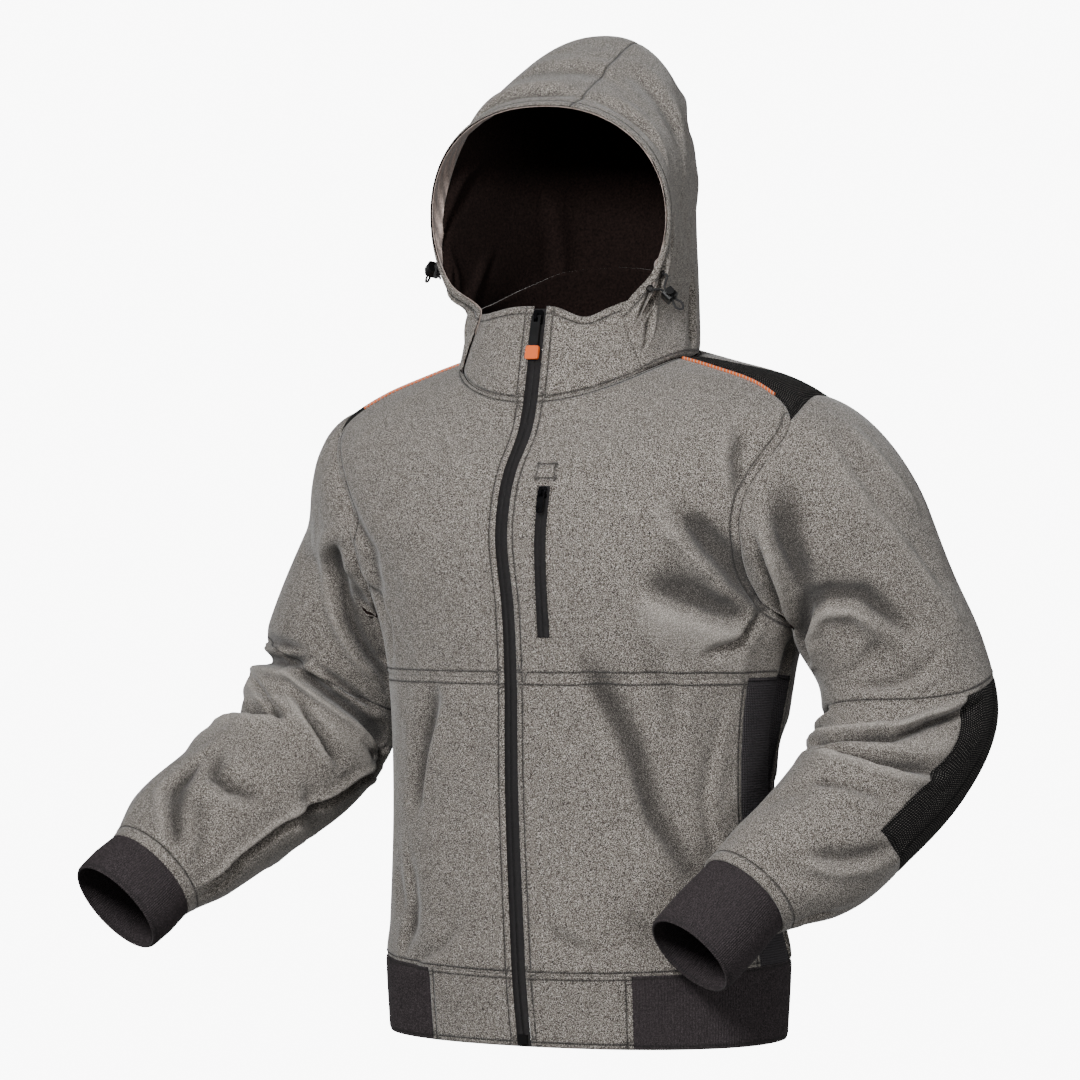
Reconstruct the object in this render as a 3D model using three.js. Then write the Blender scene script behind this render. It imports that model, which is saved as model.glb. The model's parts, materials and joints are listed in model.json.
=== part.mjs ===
// Hooded softshell work jacket, in the shape it keeps when worn, with nobody in it.
// Millimetres. +X is the wearer's left, the front faces -Y, +Z is up, and the origin is the
// middle of the neck base. "left" and "right" in names are the wearer's.
import * as THREE from "three";

// Driving sizes
const CLOTH = 2.0;            // bonded softshell
const RIB = 2.6;              // rib knit of hem and cuffs
const COLLAR_CLOTH = 3.6;     // collar, two layers
const FACING = 1.0;           // strip sewn inside the hood's edge
const SEAM = 0.17;            // every piece stops this short of its seam line
const ZIP_HALF = 7.6;         // half the gap that the zip tape shows in
const SQUARENESS = 2.15;      // 2 is an ellipse, more is squarer
const RING = 24;              // cells round a sleeve
const V_PIT = 0.62;           // row of the armhole's lower corners
const V_TIP = 0.845;          // row of the armhole's upper corners
const HOOD_SQUARENESS = 2.2;

const vec = (x, y, z) => new THREE.Vector3(x, y, z);
const rad = (deg) => (deg * Math.PI) / 180;
const mix = (a, b, t) => a + (b - a) * t;
const clamp = (t, lo, hi) => Math.min(hi, Math.max(lo, t));
const power = (c, e) => Math.sign(c) * Math.abs(c) ** e;

function table(columns, ...rows) {
  return rows.map((row) => Object.fromEntries(columns.split(" ").map((c, i) => [c, row[i]])));
}

// Smooth value of one column of a table at t
function track(rows, key, t) {
  const n = rows.length;
  const s = clamp(t, rows[0].at, rows[n - 1].at);
  let i = 0;
  while (i < n - 2 && s >= rows[i + 1].at) i += 1;
  const slope = (k) => {
    const a = Math.max(0, k - 1);
    const b = Math.min(n - 1, k + 1);
    return (rows[b][key] - rows[a][key]) / (rows[b].at - rows[a].at);
  };
  const h = rows[i + 1].at - rows[i].at;
  const u = (s - rows[i].at) / h;
  return (2 * u ** 3 - 3 * u ** 2 + 1) * rows[i][key] + (u ** 3 - 2 * u ** 2 + u) * h * slope(i)
    + (3 * u ** 2 - 2 * u ** 3) * rows[i + 1][key] + (u ** 3 - u ** 2) * h * slope(i + 1);
}

// Body: level rings from the hem (0) to the neck seam (1). drop lowers a ring's front,
// rise lifts its back, tilt lifts its left side.
const BODY = table("at z width front back drop rise shift tilt",
  [0.00, -672, 206, 143, 142, 0, 0, 7, 0],
  [0.10, -594, 209, 150, 148, 8, 0, 7, 0],
  [0.16, -560, 204, 150, 146, 4, 0, 6, 0],
  [0.35, -432, 197, 150, 140, 0, 0, 3, 0],
  [0.52, -314, 208, 156, 146, 0, 0, 9, 0],
  [0.62, -243, 228, 166, 152, 0, 0, 13, 0],
  [0.70, -178, 264, 170, 152, 3, 2, 10, 0],
  [0.76, -125, 280, 162, 146, 12, 6, 8, 1],
  [0.81, -86, 279, 154, 138, 24, 10, 8, 3],
  [0.855, -52, 262, 143, 130, 40, 14, 7, 4],
  [0.90, -26, 219, 132, 122, 50, 18, 5, 4],
  [0.95, -9, 161, 122, 114, 48, 20, 2, 2],
  [1.00, 2, 116, 116, 106, 44, 22, 0, 0]);

// Angles round the body, from the front middle, of the front and back long seams:
// side panel below, armhole, then the edges of the shoulder yoke
const LONG_SEAMS = table("at front back",
  [0.00, 78, 104], [0.16, 77, 104], [0.35, 75, 104], [0.52, 71, 104], [0.60, 74, 107],
  [0.62, 70, 113], [0.65, 61, 119], [0.68, 54.5, 123], [0.72, 50, 125], [0.76, 50.5, 124],
  [0.80, 56, 121], [0.845, 66, 116], [0.90, 72, 110], [0.95, 77, 106], [1.00, 82, 104]);

// Broad creases of the body: angle and height of each point of the line, depth outwards, width
const BODY_CREASES = [
  { line: [[38, -190], [54, -222], [70, -246]], depth: -9, wide: 20 },
  { line: [[34, -262], [50, -282], [66, -300]], depth: 4, wide: 16 },
  { line: [[21, -324], [32, -382], [40, -449], [55, -508]], depth: -6, wide: 18 },
  { line: [[-30, -338], [-36, -387], [-39, -437]], depth: -5, wide: 17 },
  { line: [[94, -290], [95, -360], [100, -420]], depth: -10, wide: 16 },
  { line: [[120, -280], [114, -350]], depth: 7, wide: 22 },
  { line: [[-96, -300], [-94, -370]], depth: -8, wide: 18 },
  { line: [[148, -150], [138, -230], [141, -330]], depth: -6, wide: 20 },
  { line: [[-151, -170], [-139, -260], [-146, -350]], depth: -6, wide: 20 },
  { line: [[176, -390], [160, -470], [150, -530]], depth: -5, wide: 18 },
  { line: [[-42, -560], [-52, -520]], depth: -4, wide: 16 },
];
const BODY_SPAN = 3.6;        // millimetres of cloth to a degree round the body

function creased(creases, across, along, u, w) {
  let sum = 0;
  for (const { line, depth, wide } of creases) {
    let near = Infinity;
    for (let k = 0; k + 1 < line.length; k += 1) {
      const ax = line[k][0] * across, ay = line[k][1] * along;
      const bx = line[k + 1][0] * across - ax, by = line[k + 1][1] * along - ay;
      const q = clamp(((u - ax) * bx + (w - ay) * by) / (bx * bx + by * by), 0, 1);
      near = Math.min(near, Math.hypot(u - ax - bx * q, w - ay - by * q));
    }
    sum += depth * Math.exp(-((near / wide) ** 2));
  }
  return sum;
}

function bodyForm(phi, v) {
  const s = Math.sin(rad(phi)), c = Math.cos(rad(phi)), e = 2 / SQUARENESS;
  const g = (key) => track(BODY, key, v);
  return vec(
    g("shift") + g("width") * power(s, e),
    -(c > 0 ? g("front") : g("back")) * power(c, e),
    g("z") - (c > 0 ? g("drop") : -g("rise")) * Math.abs(c) ** 1.6 + g("tilt") * s);
}

function body(phi, v) {
  const p = bodyForm(phi, v);
  const du = bodyForm(phi + 0.6, v).sub(bodyForm(phi - 0.6, v));
  const dv = bodyForm(phi, Math.min(1, v + 0.004)).sub(bodyForm(phi, Math.max(0, v - 0.004)));
  const n = du.cross(dv).normalize();
  const depth = creased(BODY_CREASES, BODY_SPAN, 1, phi * BODY_SPAN, p.z);
  return p.addScaledVector(n, depth);
}

// Rows and columns of the body's cells. Half of the body is 8 cells of front, 4 of side and
// 8 of back, and the two halves meet at the back's middle.
const [FRONT, SIDE, HALF] = [8, 12, 20];
const ROWS = [0, 0.05, 0.1, 0.16, 0.22, 0.28, 0.34, 0.4, 0.46, 0.52, 0.555, 0.59];
for (let k = 0; k <= 8; k += 1) ROWS.push(mix(V_PIT, V_TIP, k / 8));
ROWS.push(0.8825, 0.92, 0.96, 1);
const [HEM_ROW, CROSS_ROW, PIT_ROW, TIP_ROW, NECK_ROW] = [2, 9, 12, 20, 24];
const PIT_DIP = { 10: 0.2, 11: 0.55, 12: 1 };     // the armhole's rounded bottom, by row
const TIP_RISE = { 20: 1, 21: 0.6, 22: 0.3, 23: 0.1 };

function edgeAngle(v) {
  return (Math.asin((ZIP_HALF / track(BODY, "width", v)) ** (SQUARENESS / 2)) * 180) / Math.PI;
}

function bodyAngles(column, row) {
  const side = column <= HALF ? 1 : -1;
  const k = column <= HALF ? column : 2 * HALF - column;
  let v = ROWS[row];
  const front = track(LONG_SEAMS, "front", v), back = track(LONG_SEAMS, "back", v);
  let phi;
  if (k <= FRONT) phi = mix(edgeAngle(v), front, k / FRONT);
  else if (k <= SIDE) {
    phi = mix(front, back, (k - FRONT) / 4);
    const bow = 1 - ((k - 10) / 2) ** 2;
    v += bow * (0.025 * (TIP_RISE[row] ?? 0) - 0.02 * (PIT_DIP[row] ?? 0));
  } else phi = mix(back, 180, (k - SIDE) / 8);
  return [side * phi, v];
}

// A grid of points with an outward normal at each. flip is -1 where the numbering runs
// the other way round.
function grid(nu, nv, at, { closed = false, flip = 1 } = {}) {
  const P = [];
  for (let i = 0; i <= nu; i += 1) {
    P.push([]);
    for (let j = 0; j <= nv; j += 1) P[i].push(closed && i === nu ? P[0][j] : at(i, j));
  }
  const N = P.map((column) => column.map(() => vec(0, 0, 0)));
  for (let i = 0; i < nu; i += 1) {
    for (let j = 0; j < nv; j += 1) {
      const d1 = P[i + 1][j + 1].clone().sub(P[i][j]);
      const d2 = P[i][j + 1].clone().sub(P[i + 1][j]);
      const n = d1.cross(d2).multiplyScalar(flip);
      for (const [a, b] of [[i, j], [i + 1, j], [i + 1, j + 1], [i, j + 1]]) {
        N[closed ? a % nu : a][b].add(n);
      }
    }
  }
  if (closed) N[nu] = N[0];
  for (const column of N.slice(0, closed ? nu : nu + 1)) column.forEach((n) => n.normalize());
  return { nu, nv, P, N, closed, flip };
}

// A closed wall on the cells that keep() names. Its edges stop SEAM short of the seam lines.
// out moves its outer face off the grid, thick is measured inwards from there.
function wall(G, keep, { out = 0, thick = CLOTH, inset = SEAM } = {}) {
  const kept = (i, j) => {
    const c = G.closed ? (i + G.nu) % G.nu : i;
    return c >= 0 && c < G.nu && j >= 0 && j < G.nv && keep(c, j);
  };
  const node = (i, j) => (G.closed ? i % G.nu : i) * (G.nv + 1) + j;
  const shift = new Map();
  const rims = [];
  const cells = [];
  for (let i = 0; i < G.nu; i += 1) {
    for (let j = 0; j < G.nv; j += 1) {
      if (!kept(i, j)) continue;
      cells.push([i, j]);
      const middle = vec(0, 0, 0);
      const corners = [[i, j], [i + 1, j], [i + 1, j + 1], [i, j + 1]];
      corners.forEach(([a, b]) => middle.addScaledVector(G.P[a][b], 0.25));
      const beyond = [[i, j - 1], [i + 1, j], [i, j + 1], [i - 1, j]];
      beyond.forEach(([a, b], k) => {
        if (kept(a, b)) return;
        const [p, q] = [corners[k], corners[(k + 1) % 4]];
        const e = G.P[q[0]][q[1]].clone().sub(G.P[p[0]][p[1]]).normalize();
        const m = middle.clone().sub(G.P[p[0]][p[1]]);
        const inward = m.addScaledVector(e, -m.dot(e)).normalize();
        for (const [x, y] of [p, q]) {
          const key = node(x, y);
          shift.set(key, [...(shift.get(key) ?? []), inward]);
        }
        rims.push([p, q]);
      });
    }
  }
  const index = new Map();
  const outer = [];
  const inner = [];
  const vertex = ([i, j]) => {
    const key = node(i, j);
    if (index.has(key)) return index.get(key);
    const p = G.P[i][j].clone();
    const pulls = shift.get(key) ?? [];
    if (pulls.length === 1) p.addScaledVector(pulls[0], inset);
    if (pulls.length > 1) {
      const sum = pulls.reduce((a, b) => a.clone().add(b), vec(0, 0, 0));
      const spread = pulls.length === 2 ? 1 + pulls[0].dot(pulls[1]) : sum.length();
      p.addScaledVector(sum, inset / Math.max(0.35, spread));
    }
    index.set(key, outer.length);
    outer.push(p.clone().addScaledVector(G.N[i][j], out));
    inner.push(p.clone().addScaledVector(G.N[i][j], out - thick));
    return outer.length - 1;
  };
  const faces = [];
  const face = (a, b, c) => faces.push(G.flip > 0 ? [a, b, c] : [a, c, b]);
  for (const [i, j] of cells) {
    const [a, b, c, d] = [[i, j], [i + 1, j], [i + 1, j + 1], [i, j + 1]].map(vertex);
    face(a, b, c);
    face(a, c, d);
  }
  const n = outer.length;
  for (const [a, b, c] of [...faces]) faces.push([a + n, c + n, b + n]);
  for (const [p, q] of rims) {
    const [a, b] = [vertex(p), vertex(q)];
    face(b, a, a + n);
    face(b, a + n, b + n);
  }
  return solid([...outer, ...inner], faces);
}

function solid(points, faces) {
  const geometry = new THREE.BufferGeometry();
  const flat = points.flatMap((p) => [p.x, p.y, p.z]);
  geometry.setAttribute("position", new THREE.Float32BufferAttribute(flat, 3));
  geometry.setIndex(faces.flat());
  geometry.computeVertexNormals();
  return geometry;
}

// Sleeves: rings from the armhole to the cuff. turn goes from the upper arm's direction (0) to
// the forearm's (1), ra is the half width in the plane of the bend and rb across it.
const ARMS = {
  1: {
    upper: vec(98, 58, -205), fore: vec(-136, -233, -225), cuffLength: 86, cuff: 46, slope: 0.06,
    rings: table("at x y z turn ra rb",
      [0.20, 274, 20, -192, 0.00, 95, 92], [0.36, 299, 40, -250, 0.05, 86, 86],
      [0.50, 321, 56, -303, 0.25, 85, 82], [0.59, 329, 57, -349, 0.50, 88, 82],
      [0.69, 321, 30, -398, 0.80, 78, 78], [0.78, 300, -15, -440, 1.00, 73, 74],
      [0.89, 271, -62, -484, 1.00, 68, 69], [1.00, 229, -116, -519, 1.00, 55, 56]),
    creases: [
      { line: [[4.25, 0.05], [5.75, 0.1], [7, 0.17]], depth: -6, wide: 17 },
      { line: [[1, 0.61], [4, 0.64], [7, 0.69]], depth: 5, wide: 16 },
      { line: [[6, 0.3], [5, 0.42]], depth: -5, wide: 18 },
      { line: [[16, 0.25], [19, 0.36]], depth: -6, wide: 20 },
      { line: [[6, 0.8], [8, 0.86]], depth: -4, wide: 16 },
    ],
  },
  "-1": {
    upper: vec(-86, 26, -180), fore: vec(-112, -208, -180), cuffLength: 52, cuff: 53, slope: 0,
    rings: table("at x y z turn ra rb",
      [0.20, -223, 6, -193, 0.00, 68, 90], [0.36, -259, 16, -250, 0.05, 74, 86],
      [0.50, -292, 27, -308, 0.25, 78, 82], [0.60, -309, 26, -362, 0.50, 84, 80],
      [0.70, -323, -8, -405, 0.80, 77, 76], [0.80, -349, -62, -441, 1.00, 71, 75],
      [0.90, -381, -116, -480, 1.00, 67, 72], [1.00, -404, -160, -517, 1.00, 60, 60]),
    creases: [
      { line: [[9.5, 0.06], [11, 0.2], [13, 0.35]], depth: -7, wide: 17 },
      { line: [[6, 0.69], [8.5, 0.655], [11, 0.62], [14, 0.63]], depth: 6, wide: 16 },
      { line: [[7.5, 0.86], [9.5, 0.9]], depth: -4, wide: 15 },
      { line: [[17, 0.24], [19, 0.36]], depth: -6, wide: 20 },
    ],
  },
};
const [ARM_SPAN, ARM_LENGTH] = [21, 540];   // cloth to one ring cell, and to the whole arm
const BLEND_END = 0.2;        // up to here a sleeve is led from the armhole to its first ring
const SLANT = 0.11;           // how much lower that ring sits under the arm
const FLANK_GAP = 3;          // air between an arm's inner side and the body
const START = table("at x y z",
  [0, 0.97, 0, -0.25], [2, 0.95, -0.12, -0.30], [6, 0.86, -0.30, -0.42], [10, 0.80, -0.1, -0.60],
  [12, 0.80, 0, -0.60], [14, 0.80, 0.1, -0.60], [18, 0.86, 0.30, -0.42], [22, 0.95, 0.12, -0.30],
  [24, 0.97, 0, -0.25]);

for (const arm of Object.values(ARMS)) {
  arm.U = arm.upper.clone().normalize();
  arm.F = arm.fore.clone().normalize();
  arm.across = arm.U.clone().cross(arm.F).normalize();
  arm.toFold = arm.F.clone().addScaledVector(arm.U, -arm.F.dot(arm.U)).normalize();
  arm.bend = Math.acos(arm.F.dot(arm.U));
}

function outwards(arm, turn) {
  const a = turn * arm.bend;
  return arm.toFold.clone().multiplyScalar(-Math.cos(a)).addScaledVector(arm.U, Math.sin(a));
}

// t is the place round the arm in cells: 0 top, 6 front, 12 under the arm, 18 back
function ring(side, t, s) {
  const arm = ARMS[side];
  const g = (key) => track(arm.rings, key, s);
  const q = rad(t * 15 + 48);
  return vec(g("x"), g("y"), g("z"))
    .addScaledVector(outwards(arm, clamp(g("turn"), 0, 1)), g("ra") * Math.cos(q))
    .addScaledVector(arm.across, -side * g("rb") * Math.sin(q));
}

function slanted(side, t, s) {
  const under = (1 - Math.cos(rad(t * 15))) / 2;
  const f = clamp((0.5 - s) / 0.3, 0, 1);
  return ring(side, t, s + SLANT * under * f * f * (3 - 2 * f));
}

// Moves a point of a sleeve sideways off the body's flank, where the arm hangs against it
function offBody(side, p, share) {
  let lo = 0, hi = 0.76;
  for (let k = 0; k < 20; k += 1) {
    const v = (lo + hi) / 2;
    if (track(BODY, "z", v) < p.z) lo = v; else hi = v;
  }
  const g = (key) => track(BODY, key, lo);
  const depth = (p.y > 0 ? g("back") : g("front")) + FLANK_GAP;
  const within = Math.abs(p.y) / depth;
  if (within >= 1) return p;
  const reach = (1 - within ** SQUARENESS) ** (1 / SQUARENESS);
  const limit = side * g("shift") + (g("width") + FLANK_GAP) * reach;
  const x = side * p.x, soft = 7;
  const pushed = (x + limit + Math.hypot(x - limit, soft)) / 2;
  return vec(side * mix(x, pushed, share), p.y, p.z);
}

function armholeNode(side, t) {
  if (t <= 2 || t >= 22) return [10 - (t > 12 ? t - 24 : t), TIP_ROW, side];
  if (t < 10) return [8, TIP_ROW - (t - 2), side];
  if (t <= 14) return [t - 2, PIT_ROW, side];
  return [12, PIT_ROW + (t - 14), side];
}

function sleeveForm(side, t, s) {
  if (s >= BLEND_END) {
    const arm = ARMS[side];
    const rise = clamp((s - 0.2) / 0.33, 0, 1), fall = clamp((0.97 - s) / 0.44, 0, 1);
    const ease = (q) => q * q * (3 - 2 * q);
    const lean = arm.slope * (1 - Math.cos(rad(t * 15 + 48))) * ease(Math.min(rise, fall));
    return offBody(side, slanted(side, t, s + lean), clamp((0.62 - s) / 0.1, 0, 1));
  }
  const [i, j] = armholeNode(side, t);
  const p0 = bodyGrid.P[side > 0 ? i : 2 * HALF - i][j];
  const p1 = offBody(side, slanted(side, t, BLEND_END), 1);
  const way = offBody(side, slanted(side, t, BLEND_END + 0.01), 1).sub(p1);
  const length = p1.distanceTo(p0) * 1.1;
  way.setLength(Math.min(way.length() / 0.01 * BLEND_END, length));
  const start = vec(side * track(START, "x", t), track(START, "y", t), track(START, "z", t));
  const u = s / BLEND_END;
  return p0.clone().multiplyScalar(2 * u ** 3 - 3 * u ** 2 + 1)
    .addScaledVector(start, length * (u ** 3 - 2 * u ** 2 + u))
    .addScaledVector(p1, 3 * u ** 2 - 2 * u ** 3)
    .addScaledVector(way, u ** 3 - u ** 2);
}

const STATIONS = [0, 0.04, 0.09, 0.15, 0.21, 0.28, 0.35, 0.42, 0.48, 0.53,
  0.565, 0.6, 0.64, 0.69, 0.75, 0.81, 0.88, 0.94, 1];
const [ELBOW, PATCH_END, WRIST] = [9, 15, 18];

// Ends of the arm that aren't rings of the table: the tuck where the sleeve is gathered onto
// the cuff, and the cuff
function armRing(side, t, ahead, radius) {
  const arm = ARMS[side];
  const end = arm.rings[arm.rings.length - 1];
  const q = rad(t * 15 + 48);
  return vec(end.x, end.y, end.z).addScaledVector(arm.F, ahead)
    .addScaledVector(outwards(arm, 1), radius * Math.cos(q))
    .addScaledVector(arm.across, -side * radius * Math.sin(q));
}

const bodyGrid = grid(2 * HALF, NECK_ROW, (i, j) => body(...bodyAngles(i, j)));

function sleeveGrid(side) {
  const arm = ARMS[side];
  const base = grid(RING, WRIST + 1, (t, j) => (j > WRIST
    ? armRing(side, t, 2.4, arm.cuff + 0.7) : sleeveForm(side, t, STATIONS[j])),
  { closed: true, flip: side });
  const made = grid(RING, WRIST + 1, (t, j) => {
    const s = STATIONS[j] ?? 1;
    const fade = clamp(s / 0.08, 0, 1) * clamp((1 - s) / 0.06, 0, 1);
    const depth = creased(arm.creases, ARM_SPAN, ARM_LENGTH, t * ARM_SPAN, s * ARM_LENGTH);
    return base.P[t][j].clone().addScaledVector(base.N[t][j], depth * fade);
  }, { closed: true, flip: side });
  for (let t = 0; t < RING; t += 1) {
    const [i, j] = armholeNode(side, t);
    const n = bodyGrid.N[side > 0 ? i : 2 * HALF - i][j];
    const shared = n.clone().add(made.N[t][0]).normalize();
    n.copy(shared);
    made.N[t][0].copy(shared);
  }
  return made;
}

// Collar: stands on the neck seam
const COLLAR = table("at width front back", [0, 116, 116, 106], [0.5, 111, 104, 101], [1, 104, 92, 93]);
const COLLAR_TOP = table("at z", [-180, 98], [-150, 94], [-128, 80], [-90, 57], [-45, 45],
  [-15, 50], [0, 50], [8, 49], [24, 39], [38, 48], [52, 56], [90, 62], [130, 78], [160, 94], [180, 98]);
const COLLAR_ROWS = [0, 0.33, 0.67, 1];

function collar(phi, h) {
  const s = Math.sin(rad(phi)), c = Math.cos(rad(phi)), e = 2 / SQUARENESS;
  const g = (key) => track(COLLAR, key, h);
  const low = 2 - (c > 0 ? 44 : -22) * Math.abs(c) ** 1.6;
  return vec(g("width") * power(s, e) - h, -(c > 0 ? g("front") : g("back")) * power(c, e),
    mix(low, track(COLLAR_TOP, "z", phi), h));
}

// Hood: bows from one end on the neck over the head to the other, from the face edge (0) to
// the neck seam (1). half is a bow's half width, dish bends its middle forward, skew turns the
// top seam to the wearer's left, lift raises its flanks.
const HOOD = table("at apexY apexZ half endX endY endZ dish lean skew lift",
  [0.00, -88, 249, 131, 80, -85, 48, 12, -7, 14, 0],
  [0.12, -60, 262, 131, 83, -84, 37, 8, -10, 16, 0],
  [0.30, 0, 298, 125, 91, -81, 20, 0, -14, 18, 0],
  [0.50, 78, 332, 118, 96, -77, 6, 0, -12, 18, 0],
  [0.68, 140, 284, 115, 99, -74, -3, 0, -6, 12, 1],
  [0.84, 152, 160, 116, 101, -72, -9, 0, 0, 4, 3],
  [1.00, 115, 27, 122, 102, -70, -12, 0, 0, 0, 8]);
const HOOD_ROWS = [0, 0.06, 0.14, 0.24, 0.36, 0.48, 0.6, 0.72, 0.86, 1];
const HOOD_CELLS = 24;
const SEAT = 2.45;            // the hood's neck seam stands this far outside the collar

// The place on the collar's foot that is nearest to p, moved out to where the hood is sewn on
function onNeck(p) {
  const { width, front, back } = COLLAR[0];
  const e = SQUARENESS / 2;
  const phi = Math.atan2(power(p.x / width, e), power(-p.y / (p.y < 0 ? front : back), e));
  const foot = collar((phi * 180) / Math.PI, 0);
  return vec(foot.x * (1 + SEAT / width), foot.y * (1 + SEAT / front), foot.z + 1.2);
}

function hood(u, w) {
  const g = (key) => track(HOOD, key, w);
  const theta = Math.acos(clamp(g("endX") / g("half"), -1, 1));
  const dy = g("apexY") - g("endY"), dz = g("apexZ") - g("endZ");
  const reach = Math.hypot(dy, dz);
  const angle = (Math.PI / 2 + theta) * u + rad(g("skew")) * (1 - u * u);
  const s = Math.sin(angle), c = Math.cos(angle), e = 2 / HOOD_SQUARENESS;
  const k = ((c > 0 ? power(c, e) : c) + Math.sin(theta)) / (1 + Math.sin(theta));
  const dish = g("dish") * (1 - ((k - 0.45) / 0.55) ** 2);
  const p = vec(
    g("half") * (c > 0 ? power(s, e) : s) + g("lean") * clamp(k, 0, 1) ** 2,
    g("endY") + dy * k + (dz / reach) * dish,
    g("endZ") + dz * k - (dy / reach) * dish + g("lift") * Math.sin(Math.PI * clamp(k, 0, 1)));
  return w > 0.86 ? p.lerp(onNeck(p), ((w - 0.86) / 0.14) ** 2) : p;
}

// Small pieces
function sweep(path, radius, sides = 8) {
  const points = [];
  let up = vec(0.3, 0.2, 1).normalize();
  path.forEach((p, k) => {
    const way = path[Math.min(k + 1, path.length - 1)].clone().sub(path[Math.max(k - 1, 0)]).normalize();
    const x = up.clone().cross(way).normalize();
    up = way.clone().cross(x).normalize();
    for (let i = 0; i < sides; i += 1) {
      const a = (2 * Math.PI * i) / sides;
      const q = p.clone().addScaledVector(x, radius * Math.cos(a));
      points.push(q.addScaledVector(up, radius * Math.sin(a)));
    }
  });
  const faces = [];
  for (let k = 0; k + 1 < path.length; k += 1) {
    for (let i = 0; i < sides; i += 1) {
      const a = k * sides + i, b = k * sides + ((i + 1) % sides);
      faces.push([a, b, b + sides], [a, b + sides, a + sides]);
    }
  }
  const last = (path.length - 1) * sides;
  for (let i = 1; i + 1 < sides; i += 1) faces.push([0, i + 1, i], [last, last + i, last + i + 1]);
  return solid(points, faces);
}

// Turns a piece drawn in its own x (right), y (up) and z (outwards) into place
function placed(geometry, origin, right, up) {
  const out = right.clone().cross(up).normalize();
  const trueUp = out.clone().cross(right).normalize();
  const turn = new THREE.Matrix4().makeBasis(right.clone().normalize(), trueUp, out);
  return geometry.applyMatrix4(turn.setPosition(origin));
}

function outline(points) {
  return new THREE.Shape(points.map(([x, y]) => new THREE.Vector2(x, y)));
}

function slab(shape, thick, at = 0) {
  const geometry = new THREE.ExtrudeGeometry(shape, { depth: thick, bevelEnabled: false, curveSegments: 5 });
  return geometry.translate(0, 0, at);
}

function rounded(w, h, r) {
  const shape = new THREE.Shape();
  shape.moveTo(-w / 2 + r, -h / 2).lineTo(w / 2 - r, -h / 2);
  shape.quadraticCurveTo(w / 2, -h / 2, w / 2, -h / 2 + r).lineTo(w / 2, h / 2 - r);
  shape.quadraticCurveTo(w / 2, h / 2, w / 2 - r, h / 2).lineTo(-w / 2 + r, h / 2);
  shape.quadraticCurveTo(-w / 2, h / 2, -w / 2, h / 2 - r).lineTo(-w / 2, -h / 2 + r);
  shape.quadraticCurveTo(-w / 2, -h / 2, -w / 2 + r, -h / 2);
  return shape;
}

// Place on the front at x millimetres from the middle and height z, and the frame there
function onFront(x, z) {
  const at = (v) => {
    const across = (x - track(BODY, "shift", v)) / track(BODY, "width", v);
    const phi = (Math.asin(power(across, SQUARENESS / 2)) * 180) / Math.PI;
    return [phi, v];
  };
  let lo = 0, hi = 1;
  for (let k = 0; k < 30; k += 1) {
    const v = (lo + hi) / 2;
    if (body(...at(v)).z < z) lo = v; else hi = v;
  }
  return body(...at(lo));
}

function frontFrame(x, z) {
  const right = onFront(x + 3, z).sub(onFront(x - 3, z)).normalize();
  const up = onFront(x, z + 6).sub(onFront(x, z - 6)).normalize();
  return { p: onFront(x, z), right, up, out: right.clone().cross(up).normalize() };
}

const jacket = new THREE.Group();
jacket.name = "jacket";
const FABRICS = {
  softshell: [0x7d7b76, 0.95], rib: [0x3c383b, 0.95], coarse: [0x232222, 0.9], tape: [0x1e1c1d, 0.7],
  facing: [0x5a4a44, 0.6], plastic: [0x121213, 0.3], orange: [0xf26a1f, 0.5], piping: [0xe0763f, 0.5],
  metal: [0x2c2c2e, 0.3],
};

function add(name, geometry, fabric) {
  const [color, roughness] = FABRICS[fabric];
  const mesh = new THREE.Mesh(geometry, new THREE.MeshStandardMaterial({ color, roughness }));
  mesh.name = name;
  jacket.add(mesh);
}

const sleeves = { left: sleeveGrid(1), right: sleeveGrid(-1) };

// Collar and body share their normals along the neck seam
const collarGrid = grid(2 * HALF, 3, (i, j) => {
  const [phi] = bodyAngles(i, NECK_ROW);
  return collar(phi, COLLAR_ROWS[j]);
});
for (let i = 0; i <= 2 * HALF; i += 1) {
  const n = bodyGrid.N[i][NECK_ROW];
  n.add(collarGrid.N[i][0]).normalize();
  collarGrid.N[i][0].copy(n);
}

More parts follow.
